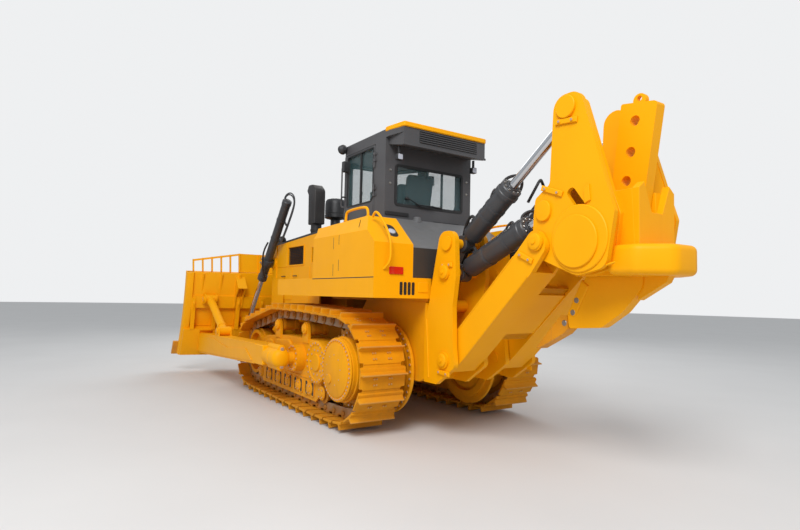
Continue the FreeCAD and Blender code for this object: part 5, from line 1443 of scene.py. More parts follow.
@dataclass
class Ripper:
  """Dressing of the ripper's bracket, arms, beam, shank and cylinders."""

  low_pin: Pair = (-1.14, 0.95)
  mid_pin: Pair = (-1.14, 1.95)
  top_pin: Pair = (-1.175, 2.28)
  beam_pin: Pair = (-2.44, 2.21)
  rod_pin: Pair = (-2.47, 2.51)
  tower_pin: Pair = (-2.735, 3.44)
  tube: Pair = (-2.85, 2.17)
  ear_outer: float = 0.64
  arm_outer: float = 0.56
  tower_outer: float = 0.49
  ram_side: float = 0.378

  def cap(self, place: Pair, y: float, radius: float) -> Skin:
    """Round pin cap with a rolled rim and a centre bolt's boss.

    Args:
      place: Side-plane place of the pin.
      y: Level of the face that carries it.
      radius: Radius.
    Returns:
      The surface.
    """
    profile = [(radius, 0.0), (radius, 0.012), (radius - 0.004, 0.019), (radius - 0.012, 0.023),
        (0.026, 0.023), (0.024, 0.034), (0.008, 0.035)]
    return lathe(profile, (place[0], y, place[1]), sides=36)

  def keeper(self, ends: Points, y: float) -> tuple[Skin, Skin]:
    """Bar that locks a pin, and its two bolts.

    Args:
      ends: Side-plane places of the bar's ends.
      y: Level of the face that carries it.
    Returns:
      The bar and its bolts.
    """
    first, last = (np.asarray(end, float) for end in ends)
    heads = [(*place[:1], y + 0.022, *place[1:]) for place in (first * 0.8 + last * 0.2, first * 0.2 + last
        * 0.8)]
    return bar_on(ends, 0.052, y - 0.002, y + 0.022), bolts(heads, ACROSS, 0.014)

  def bracket(self) -> tuple[Skin, Skin]:
    """Pin caps, keepers and seams on the mounting bracket.

    Returns:
      The caps with the bars, and the bolts.
    """
    y = self.ear_outer
    bar, heads = self.keeper([(-1.28, 2.03), (-1.09, 2.024)], y)
    low_bar, low_heads = self.keeper([(-1.26, 0.8), (-1.04, 0.815)], y)
    parts = [
      self.cap(self.mid_pin, y + 0.024, 0.08), self.cap(self.low_pin, y + 0.024, 0.075), bar, low_bar,
      weld([(-0.85, y - 0.058, 0.7), (-0.85, y - 0.058, 1.55)], 0.01),
      weld([(-0.86, y + 0.002, 0.72), (-0.8, y + 0.002, 1.4)], 0.009),
    ]
    return joined(parts), joined([heads, low_heads])

  def arms(self) -> tuple[Skin, Skin]:
    """Keeper plates, seams and the closed underside of the arms.

    Returns:
      The plates and the bolts.
    """
    y = self.arm_outer
    a, b = np.array(self.low_pin), np.array(self.beam_pin)
    along = unit(b - a)
    down = np.array([-along[1], along[0]])

    def at(reach: float, low: float) -> Array:
      """A side-plane point by its reach from the lower pin and its depth below the line of pins."""
      return a + along * reach + down * low

    edges = [[(at(r, h)[0], y - 0.002, at(r, h)[1]) for r, h in ends]
        for ends in (((0.2, 0.146), (1.5, 0.158)), ((0.3, -0.152), (1.5, -0.118)))]
    floor = slab([at(0.5, 0.098), at(1.33, 0.104), at(1.33, 0.134), at(0.5, 0.128)], -0.225, 0.225)
    bar, heads = self.keeper([(-2.212, 2.11), (-2.401, 2.022)], y)
    return joined([weld(edge) for edge in edges] + [floor, bar,
        self.cap(self.beam_pin, y + 0.02, 0.08)]), heads

  def beam(self) -> tuple[Skin, Skin]:
    """Tower plates, rear webs, cross tube, shank box and push block of the beam, with caps and keepers.

    Returns:
      The plates and the bolts.
    """
    y = self.tower_outer
    tube_x, tube_z = self.tube
    front = mm([(-2850, 1880, 200), (-2400, 2060, 60), (-2330, 2270, 60), (-2340, 2470, 60),
        (-2360, 2640, 60), (-2540, 2760, 60), (-2585, 3580, 140)])
    tower = filleted(mm([(-2885, 3580, 140), (-3176, 2640, 300), (-3245, 2430, 60), (-3160, 1950, 120)])
        + front)
    inner = filleted(mm([(-2800, 3580, 100), (-3100, 2640, 300), (-3180, 2430, 60), (-3110, 1950, 120)])
        + front)
    slot = filleted(mm([(-2730, 2647, 44), (-2806, 2705, 44), (-2990, 2463, 44), (-2914, 2405, 44)]))
    levels = np.array([3.32, 2.9, 2.64, 2.46, 2.41, 1.97])
    rear_out = np.array([-2.962, -3.09, -3.168, -3.226, -3.232, -3.16])
    rear_in = np.array([-2.878, -3.014, -3.096, -3.16, -3.166, -3.108])
    web = woven(np.stack([np.stack([at_x, np.full(6, at_y), levels], axis=1) for at_x,
        at_y in ((rear_out, 0.446), (rear_in, 0.308), (rear_in + 0.03, 0.308), (rear_out + 0.03, 0.446))],
        axis=1)).outward()
    parts, heads = [], []
    for side in (1, -1):
      places = [np.sort([side * low, side * high]) for low, high in ((0.265, 0.315), (0.44, 0.49))]
      parts += [slab(inner, *places[0]), plate(pierced(tower, [slot]), *places[1]),
          slab(mm([(-3300, 1890), (-2660, 1890), (-2640, 2300), (-2780, 2640), (-3260, 2640)]),
          *np.sort([side * 0.072, side * 0.27]))]
    rear = mm([(-268, 1880), (268, 1880), (268, 2640), (190, 2700), (80, 2440), (-80, 2440), (-190, 2700),
        (-268, 2640)])
    block = filleted(mm([(-3100, -380), (-3360, -380, 150), (-3600, -160, 150), (-3600, 160, 150),
        (-3360, 380, 150), (-3100, 380)]))
    parts += [
      lathe([(0.205, -0.488), (0.205, 0.488)], (tube_x, 0, tube_z), sides=48),
      slab(rear, -3.325, -3.255, CROSS),
      slab(mm([(-2655, 2020), (-2645, 2290), (-2775, 2635), (-2875, 2635), (-2850, 2400), (-2700, 2110)]),
        -0.073, 0.073),
      cushioned(block, 1.885, 2.15, 0.055, PLAN),
      slab(mm([(-3460, 1890), (-3430, 1830), (-3170, 1675), (-3140, 1890)]), -0.045, 0.045),
    ]
    for side in Side:
      outer = [
          lathe([(0.24, y - 0.002), (0.24, y + 0.032), (0.234, y + 0.038), (0.01, y + 0.038)],
              (tube_x - 0.005, 0, tube_z + 0.02), sides=56),
          lathe([(0.306, y - 0.002), (0.306, y + 0.01), (0.298, y + 0.016), (0.2, y + 0.016)],
              (tube_x - 0.03, 0, tube_z + 0.045), sides=56),
          slab(mm([(-2950, 2520), (-3010, 2545), (-2995, 2690), (-2945, 2660)]), y - 0.03, y + 0.02),
          lathe([(0.108, y - 0.002), (0.108, y + 0.026), (0.102, y + 0.032), (0.01, y + 0.032)],
              (-2.738, 0, 3.452), sides=40),
          web,
          cushioned(filleted(mm([(-2385, 2410, 85), (-2385, 2610, 85), (-2565, 2610, 85),
              (-2565, 2410, 85)])), y - 0.01, y + 0.03, 0.008, SIDE),
          weld([(-3.24, y - 0.02, 1.99), (-2.86, y - 0.02, 1.9)], 0.01)
      ]
      bars = [self.keeper([(-2.618, 3.331), (-2.865, 3.305)], y),
          self.keeper([(-2.45, 2.735), (-2.7, 2.64)], y)]
      parts += [skin.on(side) for skin in outer + [bar for bar, _ in bars]]
      heads += [skin.on(side) for _, skin in bars]
    return joined(parts), joined(heads)

  def shank_dress(self) -> tuple[Skin, Skin, Skin]:
    """Curved shank with its pin holes and lifting eye, the tip's pins and the set pin's heads.

    Returns:
      The shank, the tip's pins and the lock's heads.
    """
    outline = filleted(mm([(-3010, 3490, 20), (-3370, 3430, 40), (-3210, 2400, 400), (-3225, 1790, 140),
        (-3020, 1560, 220), (-2790, 1405, 100), (-2420, 1378, 30), (-2400, 1520, 40), (-2620, 1890, 200),
        (-2870, 2400, 400)]), 5)
    holes = [round_hole(x, z, 0.048) for x, z in ((-3.15, 3.3), (-3.105, 3.02), (-3.06, 2.76))]
    eye = pierced(round_hole(-3.173, 3.49, 0.064, 24), [round_hole(-3.173, 3.508, 0.025, 16)])
    nose = slab(mm([(-2405, 1520), (-2500, 1500), (-2660, 1800), (-2575, 1860)]), -0.075, 0.075, SIDE, 0.01)
    pins = [lathe(mm([(24, -78), (30, -74), (30, 74), (24, 78)]), (x, 0, z), sides=18)
        for x, z in ((-2.52, 1.66), (-2.475, 1.54), (-2.37, 1.43))]
    head = lathe(mm([(68, 0), (68, 18), (55, 30), (12, 30)]), (-3.02, 0.27, 2.52), sides=28)
    blade = joined([plate(pierced(outline, holes), -0.06, 0.06), plate(eye, -0.025, 0.025), nose])
    return blade, joined(pins), head.both()

  def ram_dress(self, pin: Pair, eye: Pair, long: float) -> tuple[Skin, Skin, Skin, Skin]:
    """Barrel with its eye, gland, ports, steel line, hoses and bolts of one ripper cylinder.

    Args:
      pin: Side-plane place of the barrel's pin.
      eye: Side-plane place of the rod's eye.
      long: Length of the barrel.
    Returns:
      The barrel, the steel line with its clamps, the hoses and the bolts.
    """
    start = np.array([pin[0], self.ram_side, pin[1]])
    along = unit(np.array([eye[0] - pin[0], 0.0, eye[1] - pin[1]]))
    across, up = np.array([0.0, 1.0, 0.0]), np.cross(along, ACROSS)
    up = up if up[2] > 0 else -up
    turned = np.stack([along, across, up], axis=1)

    def at(reach: float, side: float, high: float) -> Array:
      """A point by reach along the ram, distance outwards and height above its axis."""
      return start + along * reach + across * side + up * high

    pad = slab(box(-0.03, -0.03, 0.03, 0.03), 0.0, 0.034, PLAN)
    barrel = joined([
        lathe(mm([(52, -70), (98, -70), (104, -64), (104, 64), (98, 70), (52, 70)]), start, ACROSS, 36, True),
        lathe([(0.066, 0.075), (0.078, 0.11), (0.092, 0.135), (0.108, 0.15), (0.116, 0.168),
            (0.116, long - 0.128), (0.131, long - 0.12), (0.131, long - 0.078), (0.122, long - 0.07),
            (0.122, long - 0.016), (0.113, long - 0.006), (0.072, long - 0.004), (0.066, long + 0.012),
            (0.054, long + 0.014), (0.052, long - 0.1)], start, along, 44),
        pad.copies([at(0.3, 0.0, 0.108), at(long - 0.2, 0.0, 0.108)], np.broadcast_to(turned, (2, 3, 3)))
    ])
    steel = [pipe([
      at(long - 0.2, 0.0, 0.135), at(long - 0.2, 0.0, 0.176), at(long - 0.28, -0.01, 0.174),
      at(long - 0.36, -0.03, 0.144), at(0.44, -0.03, 0.142), at(0.36, -0.05, 0.15)], 0.013)]
    steel += [lathe([(0.114, reach), (0.1215, reach + 0.003), (0.1215, reach + 0.035),
        (0.114, reach + 0.038)], start, along, 36, True) for reach in (0.46, long - 0.34)]
    hoses = [
      pipe([at(0.3, 0.0, 0.135), at(0.3, 0.005, 0.185), at(0.22, 0.0, 0.205), at(0.1, -0.02, 0.175),
             at(-0.02, -0.05, 0.13)], 0.018),
      pipe([at(long - 0.1, -0.03, 0.125), at(long - 0.1, -0.05, 0.19), at(long - 0.04, -0.12, 0.225),
             at(long + 0.02, -0.22, 0.2), at(long - 0.06, -0.28, 0.12), at(long - 0.24, -0.27, 0.08)], 0.017),
      pipe([at(0.36, -0.05, 0.15), at(0.24, -0.09, 0.165), at(0.1, -0.12, 0.14), at(-0.02, -0.14, 0.1)],
        0.018),
    ]
    heads = joined([
      bolt_circle(start + along * (long - 0.005), along, 0.092, 10, 0.011),
      bolts([at(0.479, 0.0, 0.121), at(long - 0.321, 0.0, 0.121)], up, 0.012),
    ])
    return barrel, joined(steel), joined(hoses), heads

  def build(self, bench: Bench) -> None:
    """Dress the ripper group.

    Args:
      bench: Where pieces are made.
    """
    bench.paint(YELLOW, "ripper_bracket", "ripper_arms", "ripper_upper_pins", "ripper_pins")
    bench.paint(CHROME, "ripper_tilt_rods", "ripper_lift_rods")
    bench.paint(EDGE, "ripper_tip")
    for name, body, (parts, heads) in (
        ("ripper_bracket_caps", "hull", self.bracket()), ("ripper_arm_plates", "ripper_arms", self.arms())):
      bench.put(name, body, YELLOW, [parts.both()])
      bench.put(name + "_bolts", body, YELLOW, [heads.both()])
    beam, heads = self.beam()
    shank, pins, lock = self.shank_dress()
    bench.put("ripper_beam_plates", "ripper_beam", YELLOW, [beam], stands_for=["ripper_beam"])
    bench.put("ripper_beam_bolts", "ripper_beam", YELLOW, [heads])
    bench.put("ripper_shank", "ripper_beam", YELLOW, [shank], stands_for=["shank"])
    bench.fit("ripper_beam", shank_pins=(STEEL, pins), shank_lock_heads=(YELLOW, lock))
    for word, pin, eye, long in (("tilt", self.top_pin, self.tower_pin, 0.945),
            ("lift", self.mid_pin, self.rod_pin, 1.14)):
      barrel, steel, hoses, heads = self.ram_dress(pin, eye, long)
      body = f"ripper_{word}_barrels"
      bench.put(f"ripper_{word}_ram_barrels", body, RAM_GREY, [barrel.both()], stands_for=[body])
      bench.put(f"ripper_{word}_ram_lines", body, RAM_GREY, [steel.both()])
      bench.put(f"ripper_{word}_ram_hoses", body, RUBBER, [hoses.both()])
      bench.put(f"ripper_{word}_ram_bolts", body, BOLT, [heads.both()])


@dataclass
class Bodywork:
  """Side boxes, decks, tank and hood: panels, hinges, rails, lamps and vents."""

  outer: float = 1.41
  rear: float = -0.84
  deck_top: float = 1.88
  box_top: float = 2.615

  def side_seams(self) -> Skin:
    """Dark door gaps and the joint above the deck on a side box's outer face.

    Returns:
      The surface.
    """
    y = self.outer
    gaps = [(0.176, 1.9, 0.184, 2.05), (0.176, 2.24, 0.184, 2.39), (0.026, 1.96, 0.034, 2.1),
        (0.026, 2.29, 0.034, 2.408), (-0.838, 1.866, 0.8, 1.876)]
    return joined([slab(box(*gap), y - 0.002, y + 0.0015, chamfer=0.0004) for gap in gaps])

  def on_slope(self, outline: Array, lift: float) -> Array:
    """Points of an outline (down the slope, y) laid on the box's rear slope at a height above it.

    Args:
      outline: Corners of a closed outline.
      lift: Height above the slope.
    Returns:
      (n, 3) points.
    """
    down, normal = unit(np.array([-0.39, 0.0, -0.345])), unit(np.array([-0.345, 0.0, 0.39]))
    flat = np.asarray(outline, float)
    rows = np.array([-0.656, 1.078, 2.433]) + flat[:, :1] * down + normal * lift
    return rows + flat[:, 1:] * np.array([0.0, 1.0, 0.0])

  def rear_face(self) -> tuple[Skin, Skin, Skin, Skin]:
    """Vent slots and lamp recess as dark sheets of painted shade, hatch and reflector on the rear of a side box
    and deck.

    Returns:
      The painted-shade slots with the recess, the hatch, the lens and the reflector.
    """
    x = self.rear
    # Vent slots as thin dark slabs on the face: painted shade where the openings would be dark.
    slots = [slab(soft_box(0.853 + 0.056 * i, 1.678, 0.893 + 0.056 * i, 1.828, 0.014), x - 0.003, x + 0.004,
        CROSS, 0.001) for i in range(4)]
    plates = slab(soft_box(0.66, 1.71, 0.8, 1.83, 0.015), x - 0.008, x + 0.002, CROSS)
    oval = filleted(mm([(-122, -70, 62), (122, -70, 62), (122, 70, 62), (-122, 70, 62)]))
    # The lamp recess is a thin dark sheet on the slope: painted shade of the recess.
    recess = woven(np.stack([self.on_slope(oval, -0.004), self.on_slope(oval, 0.0015),
        self.on_slope(oval * 0.97, 0.0025)])).outward()
    normal = unit(np.array([-0.345, 0.0, 0.39]))
    lens = lathe(mm([(48, 0), (48, 6), (44, 12), (30, 16), (6, 18)]), self.on_slope([(0.018, 0.0)], 0.0)[0],
        normal, 28)
    reflector = slab(soft_box(1.02, 1.912, 1.208, 1.998, 0.012), x - 0.014, x + 0.002, CROSS)
    seam = weld([(-0.51, 1.408, 2.545), (-0.47, 1.408, 2.46)], 0.004)
    return joined(slots + [recess, seam]), plates, lens, reflector

  def rails(self) -> Skin:
    """Handrail on the box's top and the grab bar down its rear.

    Returns:
      The surface.
    """
    top = self.box_top
    rail = rounded([(-0.38, 1.235, top - 0.005), (-0.372, 1.235, top + 0.085), (-0.31, 1.235, top + 0.13),
        (0.15, 1.235, top + 0.13), (0.192, 1.235, top + 0.085), (0.2, 1.235, top - 0.005)], 4)
    bar = rounded(mm([(-550, 1270, 2590), (-620, 1270, 2660), (-760, 1252, 2530), (-900, 1237, 2320),
        (-912, 1235, 2180), (-912, 1238, 2050), (-838, 1280, 1965)]), 3)
    feet = [lathe(mm([(30, 0), (30, 8), (24, 11)]), (x, 1.235, top), UP, 16) for x in (-0.38, 0.2)]
    return joined([tube(rail, 0.017, 12), tube(bar, 0.015, 12)] + feet)

  def deck_tread(self) -> Skin:
    """Raised tread ribs on the deck in front of a side box.

    Returns:
      The surface.
    """
    x, y = np.meshgrid(np.arange(0.9, 1.76, 0.07), np.arange(0.8, 1.38, 0.07))
    lift = np.full(x.size, self.deck_top)
    angles = np.where((np.arange(x.size) + np.repeat(np.arange(x.shape[0]), x.shape[1])) % 2, 0.8, -0.8)
    cut = np.stack([np.stack([np.cos(angles), -np.sin(angles), 0 * angles], axis=1),
        np.stack([np.sin(angles), np.cos(angles), 0 * angles], axis=1),
        np.broadcast_to([0.0, 0.0, 1.0], (x.size, 3))], axis=2)
    rib = lathe([(0.004, -0.018), (0.0055, 0.0), (0.004, 0.018)], ORIGIN, AHEAD, 5)
    return rib.copies(np.stack([x.ravel(), y.ravel(), lift], axis=1), cut)

  def tank_dress(self) -> tuple[Skin, Skin, Skin]:
    """Filler, vent slots at the cab's foot drawn as dark sheets of painted shade, and the dark rear panel of the
    tank.

    Returns:
      The filler, the slots and the panel.
    """
    filler = joined([
        lathe(mm([(58, -30), (58, 10), (50, 16), (50, 36), (42, 44), (10, 46)]), (-0.1, 0.32, 2.68), UP, 28)])
    # Vent slots as thin dark slabs: painted shade where the openings would be dark.
    slots = [slab(soft_box(*ends, 0.008), 0.044, 0.064, CROSS, 0.001)
        for ends in ((0.36, 2.745, 0.73, 2.79), (-0.53, 2.69, -0.06, 2.715))]
    panel = slab(box(-0.872, 1.885, 0.872, 2.236), -0.838, -0.826, CROSS)
    return filler, joined(slots), panel

  def hood_panels(self) -> tuple[Skin, Skin, Skin]:
    """Doors, louvres, handles and window mesh of the engine hood.

    Returns:
      The doors, the mesh and the handles.
    """
    y = 0.7
    doors = [
      slab(mm([(1840, 1900), (2300, 1900), (2300, 2655), (1840, 2675)]), y - 0.001, y + 0.008),
      rim(soft_box(2.315, 2.175, 2.455, 2.475, 0.02), 0.02, y - 0.001, y + 0.009, SIDE),
      rim(soft_box(2.755, 2.16, 3.515, 2.53, 0.03), 0.022, y - 0.001, y + 0.01, SIDE),
      slab(soft_box(2.5, 1.9, 3.26, 2.135, 0.02), y - 0.001, y + 0.008),
      slab(soft_box(3.28, 1.55, 4.02, 2.135, 0.02), y - 0.001, y + 0.008),
      slab(soft_box(2.5, 1.22, 3.26, 1.875, 0.02), y - 0.001, y + 0.008),
      slab(mm([(3535, 2155), (4030, 2155), (4030, 2575), (3535, 2600)]), y - 0.001, y + 0.008),
    ]
    step = 0.03
    across = np.arange(2.79, 3.485, step)
    upright = tube([(0, 0, 2.19), (0, 0, 2.5)], 0.0022, 5).copies(
      np.stack([across, np.full(len(across), y - 0.016), np.zeros(len(across))], axis=1))
    level = np.arange(2.2, 2.5, step)
    flat = tube([(2.785, 0, 0), (3.485, 0, 0)], 0.0022, 5).copies(
      np.stack([np.zeros(len(level)), np.full(len(level), y - 0.013), level], axis=1))
    fins = slab(mm([(2343, 0), (2427, 0), (2427, 6), (2343, 12)]), y - 0.026, y - 0.004, SIDE,
        0.001).copies([(0, 0, z) for z in np.arange(2.215, 2.445, 0.028)])
    handles = joined([
      pipe([(x, y + 0.006, z), (x, y + 0.045, z), (x + 0.12, y + 0.045, z), (x + 0.12, y + 0.006, z)],
        0.008, 8) for x, z in ((2.06, 2.1), (3.05, 1.98), (3.6, 1.98))])
    return joined(doors), joined([upright, flat, fins]), handles

  def hood_top(self) -> tuple[Skin, Skin]:
    """Ribs, access plates and hand grips on the hood's top, which falls 110 mm in 2.255 m.

    Returns:
      The plates with the ribs, and the grips.
    """
    def level(x: float) -> float:
      """Height of the top sheet at x."""
      return 2.625 + 0.11 * (4.05 - x) / 2.255

    parts = []
    for x0, x1, y0, y1 in ((1.85, 2.52, -0.62, 0.62), (3.36, 4.0, -0.62, 0.62), (2.56, 3.32, -0.64, -0.32)):
      corners = [(x0, level(x0) - 0.002), (x1, level(x1) - 0.002), (x1, level(x1) + 0.01),
          (x0, level(x0) + 0.01)]
      parts.append(slab(corners, y0, y1))
    fins = []
    for x in np.arange(3.44, 3.96, 0.055):
      z = level(x) + 0.009
      fins.append(slab([(x, z), (x + 0.032, z), (x + 0.024, z + 0.014)], -0.52, 0.52, SIDE, 0.001))
    grips = [pipe([(x, y, level(x)), (x, y, level(x) + 0.06), (x + 0.16, y, level(x) + 0.055),
        (x + 0.16, y, level(x + 0.16))], 0.009, 8) for x, y in ((2.1, 0.48), (2.1, -0.48))]
    return joined(parts + fins), joined(grips)

  def nose(self) -> tuple[Skin, Skin, Skin, Skin]:
    """Grille door frame, lamps, tow hook and seams on the radiator guard.

    Returns:
      The frame with the hook, the lamps, their glass and the bolts.
    """
    x = 4.25
    frame_rim = [
      rim(soft_box(-0.6, 1.09, 0.6, 2.5, 0.04), 0.055, x - 0.001, x + 0.014, CROSS),
      slab(soft_box(-0.03, 1.14, 0.03, 2.44, 0.01), x - 0.012, x + 0.004, CROSS),
      slab(mm([(3620, 1240), (4200, 1240), (4200, 1950), (3620, 1950)]), 0.719, 0.728),
    ]
    hook = tube(rounded([(x - 0.02, -0.09, 0.8), (x + 0.1, -0.09, 0.8), (x + 0.15, 0.0, 0.8),
        (x + 0.1, 0.09, 0.8), (x - 0.02, 0.09, 0.8)], 3), 0.028, 12)
    lamps, glasses = [], []
    for y in (-0.6, 0.6):
      lamps.append(lathe(mm([(45, -60), (78, -35), (82, 30), (74, 36), (70, 20)]), (4.12, y, 2.7), AHEAD, 28))
      lamps.append(slab(mm([(4070, 2600), (4170, 2600), (4140, 2640), (4100, 2640)]), y - 0.03, y + 0.03))
      glasses.append(lathe(mm([(70, 18), (50, 28), (6, 32)]), (4.12, y, 2.7), AHEAD, 28))
    heads = joined([bolts([(x + 0.014, y, z) for y in (-0.575, 0.575) for z in (1.15, 1.5, 1.85, 2.2, 2.44)],
        AHEAD, 0.013)])
    return joined(frame_rim + [hook]), joined(lamps), joined(glasses), heads

  def build(self, bench: Bench) -> None:
    """Dress the bodywork.

    Args:
      bench: Where pieces are made.
    """
    bench.paint(YELLOW, "decks", "side_boxes", "hood_sides", "radiator_guard")
    bench.paint(BLACK, "hood_top", "firewall", "grille")
    bench.paint(LOW_YELLOW, "main_frame")
    bench.paint(TANK_GREY, "fuel_tank")
    bench.paint(CAST, "engine_block")
    bench.put("side_box_seams", "hull", BLACK, [self.side_seams().both()])
    slots, plates, glass, reflector = self.rear_face()
    bench.fit_both(
        "hull", rear_vents_and_lamp_rings=(BLACK, slots), rear_hatches=(YELLOW, plates),
        rear_box_lamps=(LAMP, glass), rear_reflectors=(REFLECTOR, reflector),
        side_box_rails=(YELLOW, self.rails()), deck_tread=(YELLOW, self.deck_tread()))
    filler, vents, panel = self.tank_dress()
    bench.fit(
        "hull", tank_filler=(TANK_GREY, filler), tank_vents=(BLACK, vents),
        tank_rear_panel=(TANK_DARK, panel))
    doors, mesh, handles = self.hood_panels()
    bench.fit_both(
        "hull", hood_doors=(YELLOW, doors), hood_window_mesh=(BLACK, mesh), hood_handles=(BLACK, handles))
    top, grips = self.hood_top()
    bench.fit("hull", hood_top_plates=(BLACK, top), hood_top_grips=(BLACK, grips))
    guard, lamps, glasses, heads = self.nose()
    bench.fit(
        "hull", nose_frame_and_hook=(YELLOW, guard), nose_lamps=(BLACK, lamps),
        nose_lamp_glass=(LAMP, glasses), nose_bolts=(BOLT, heads))


@dataclass
class Cab:
  """Cab dressing: seals, wipers, handles, lamps, visor and the inside."""

  half: float = 0.74
  rear: float = 0.06
  window: Triple = (0.575, 2.89, 3.43)

  def seals(self) -> Skin:
    """Rubber seals round the rear window and the fixed front panes.

    Returns:
      The surface.
    """
    half, low, high = self.window
    parts = [rim(soft_box(-half - 0.014, low - 0.014, half + 0.014, high + 0.014, 0.05), 0.036, self.rear
        - 0.009, self.rear + 0.006, CROSS), rim(soft_box(-0.365, 2.745, 0.365, 3.76, 0.04), 0.034, 1.744,
        1.757, CROSS)]
    return joined(parts)

  def corner_seals(self) -> Skin:
    """Rubber seals of the two slanting front corner panes.

    Returns:
      The surface.
    """
    base, nose = np.array([1.22, 0.74]), np.array([1.75, 0.44])
    ahead = unit(nose - base)
    reach = float(np.linalg.norm(nose - base))
    flat = rim(soft_box(0.06, 2.745, reach - 0.06, 3.76, 0.04), 0.034, -0.006, 0.007, SIDE)
    points = flat.points
    out = np.array([-ahead[1], ahead[0]])
    turned = base + points[:, :1] * ahead + points[:, 1:2] * out
    return Skin(np.stack([turned[:, 0], turned[:, 1], points[:, 2]], axis=1), flat.faces).outward()

  def door_leaf(self) -> tuple[Skin, Skin, Skin, Skin]:
    """Left door: its ring with hinges, its pane, the window's seal with the divider, and the handle.

    Returns:
      The ring, the pane, the seal and the handle.
    """
    y = self.half
    outer = soft_box(0.338, 2.708, 1.172, 3.737, 0.03)
    window = filleted(mm([(372, 2960, 90), (1138, 2960, 30), (1138, 3716, 30), (372, 3716, 30)]))
    knuckles = [lathe([(0.009, z - 0.045), (0.012, z - 0.042), (0.012, z + 0.042), (0.009, z + 0.045)],
        (0.334, y + 0.012, 0), UP, 16) for z in (3.14, 3.46)]
    straps = [slab(box(0.334, z - 0.035, 0.372, z + 0.035), y - 0.002, y + 0.008) for z in (3.14, 3.46)]
    panel = slab(soft_box(0.375, 2.735, 1.04, 2.93, 0.03), y - 0.001, y + 0.006)
    ring = joined([plate(pierced(outer, [window]), y - 0.045, y), panel] + knuckles + straps)
    pane = slab(inset(window, -0.006), y - 0.03, y - 0.024, chamfer=0.001)
    seal = joined([rim(inset(window, -0.004), 0.018, y - 0.002, y + 0.007, SIDE),
        slab(box(0.728, 2.962, 0.75, 3.714), y - 0.032, y + 0.004)])
    handle = joined([
      pipe([(1.115, y - 0.002, 2.9), (1.115, y + 0.045, 2.9), (1.115, y + 0.05, 2.84),
             (1.115, y + 0.045, 2.78), (1.115, y - 0.002, 2.78)], 0.011, 10),
      slab(soft_box(1.075, 2.745, 1.155, 2.935, 0.015), y - 0.001, y + 0.006)])
    return ring, pane, seal, handle

  def wipers(self) -> Skin:
    """Wipers parked on the rear window and the front pane.

    Returns:
      The surface.
    """
    x = self.rear - 0.012
    arms = [
      tube([(x - 0.012, 0.386, 2.995), (x - 0.024, 0.172, 2.9), (x - 0.02, -0.048, 2.893)], 0.008, 8),
      tube([(x - 0.008, 0.26, 2.925), (x - 0.01, -0.2, 2.915)], 0.009, 6),
      tube(mm([(1776, -20, 2790), (1786, 100, 3020), (1780, 160, 3180)]), 0.007, 8),
      tube([(1.768, 0.2, 2.98), (1.768, 0.13, 3.36)], 0.008, 6),
      lathe(mm([(26, -20), (26, 12), (18, 18)]), (x, 0.386, 2.995), (-1, 0, 0), 16),
    ]
    return joined(arms)

  def lamps(self) -> tuple[Skin, Skin]:
    """Work lamps: two small square ones beside the rear window, pairs at the roof's front.

    Returns:
      The shells and the glass.
    """
    shells, glasses = [], []
    for centre, aim in [((1.2, y, 3.845), (1, 0, -0.1)) for y in (-0.8, 0.8)] + [
        ((1.78, y, 3.8), (1, 0, -0.1)) for y in (-0.3, 0.3)]:
      shells.append(lathe(mm([(30, -62), (66, -30), (72, 26), (66, 31), (60, 18)]), centre, aim, 24))
      glasses.append(lathe(mm([(60, 16), (40, 23), (6, 26)]), centre, aim, 24))
    for y in (-0.638, 0.638):
      shells.append(slab(soft_box(y - 0.042, 3.448, y + 0.042, 3.532, 0.014), -0.15, -0.08, CROSS, 0.006))
      shells.append(slab(mm([(-130, 3520), (-100, 3520), (-100, 3635), (-130, 3635)]), y - 0.014, y + 0.014))
      glasses.append(slab(soft_box(y - 0.034, 3.456, y + 0.034, 3.524, 0.01), -0.1535, -0.149, CROSS, 0.001))
    for y in (-0.785, 0.785):
      shells.append(slab(box(1.175, 3.795, 1.22, 3.87), min(y, y * 0.93), max(y, y * 0.93)))
    return joined(shells), joined(glasses)

  def post_boxes(self) -> Skin:
    """Small marker box and bracket ahead of the door.

    Returns:
      The surface.
    """
    case = slab(soft_box(1.08, 3.485, 1.156, 3.643, 0.012), 0.745, 0.835, SIDE, 0.006)
    foot = pipe(mm([(1200, 735, 3125), (1185, 780, 3125), (1175, 815, 3110), (1175, 815, 3060)]), 0.012, 8)
    return joined([case, foot])

  def visor(self) -> tuple[Skin, Skin, Skin]:
    """Dark vent panel with long ribs, drain lip and bolts on the rear visor and posts.

    Returns:
      The panel, the ribs with the lip, and the bolts.
    """
    panel = slab(soft_box(-0.53, 3.672, 0.445, 3.84, 0.015), -0.304, -0.296, CROSS, 0.001)
    rib = slab(soft_box(-0.525, -0.006, 0.44, 0.006, 0.004), -0.315, -0.3, CROSS, 0.002)
    ribs = rib.copies([(0.0, 0.0, 3.684 + 0.0288 * i) for i in range(6)])
    lip = slab(box(-0.312, -0.7, -0.296, 0.7), 3.61, 3.638, PLAN)
    heads = bolts([(self.rear, y, z) for y in (0.66, -0.66) for z in (3.17, 3.35)], (-1, 0, 0), 0.013)
    return panel, joined([ribs, lip]), heads

  def roof_edge(self) -> Skin:
    """Thick yellow cap along the roof's rear edge.

    Returns:
      The surface.
    """
    plan = filleted(mm([(-322, -700, 30), (0, -748, 20), (62, -748), (62, 748), (0, 748, 20),
        (-322, 700, 30)]))
    return slab(plan, 3.852, 3.917, PLAN, 0.01)

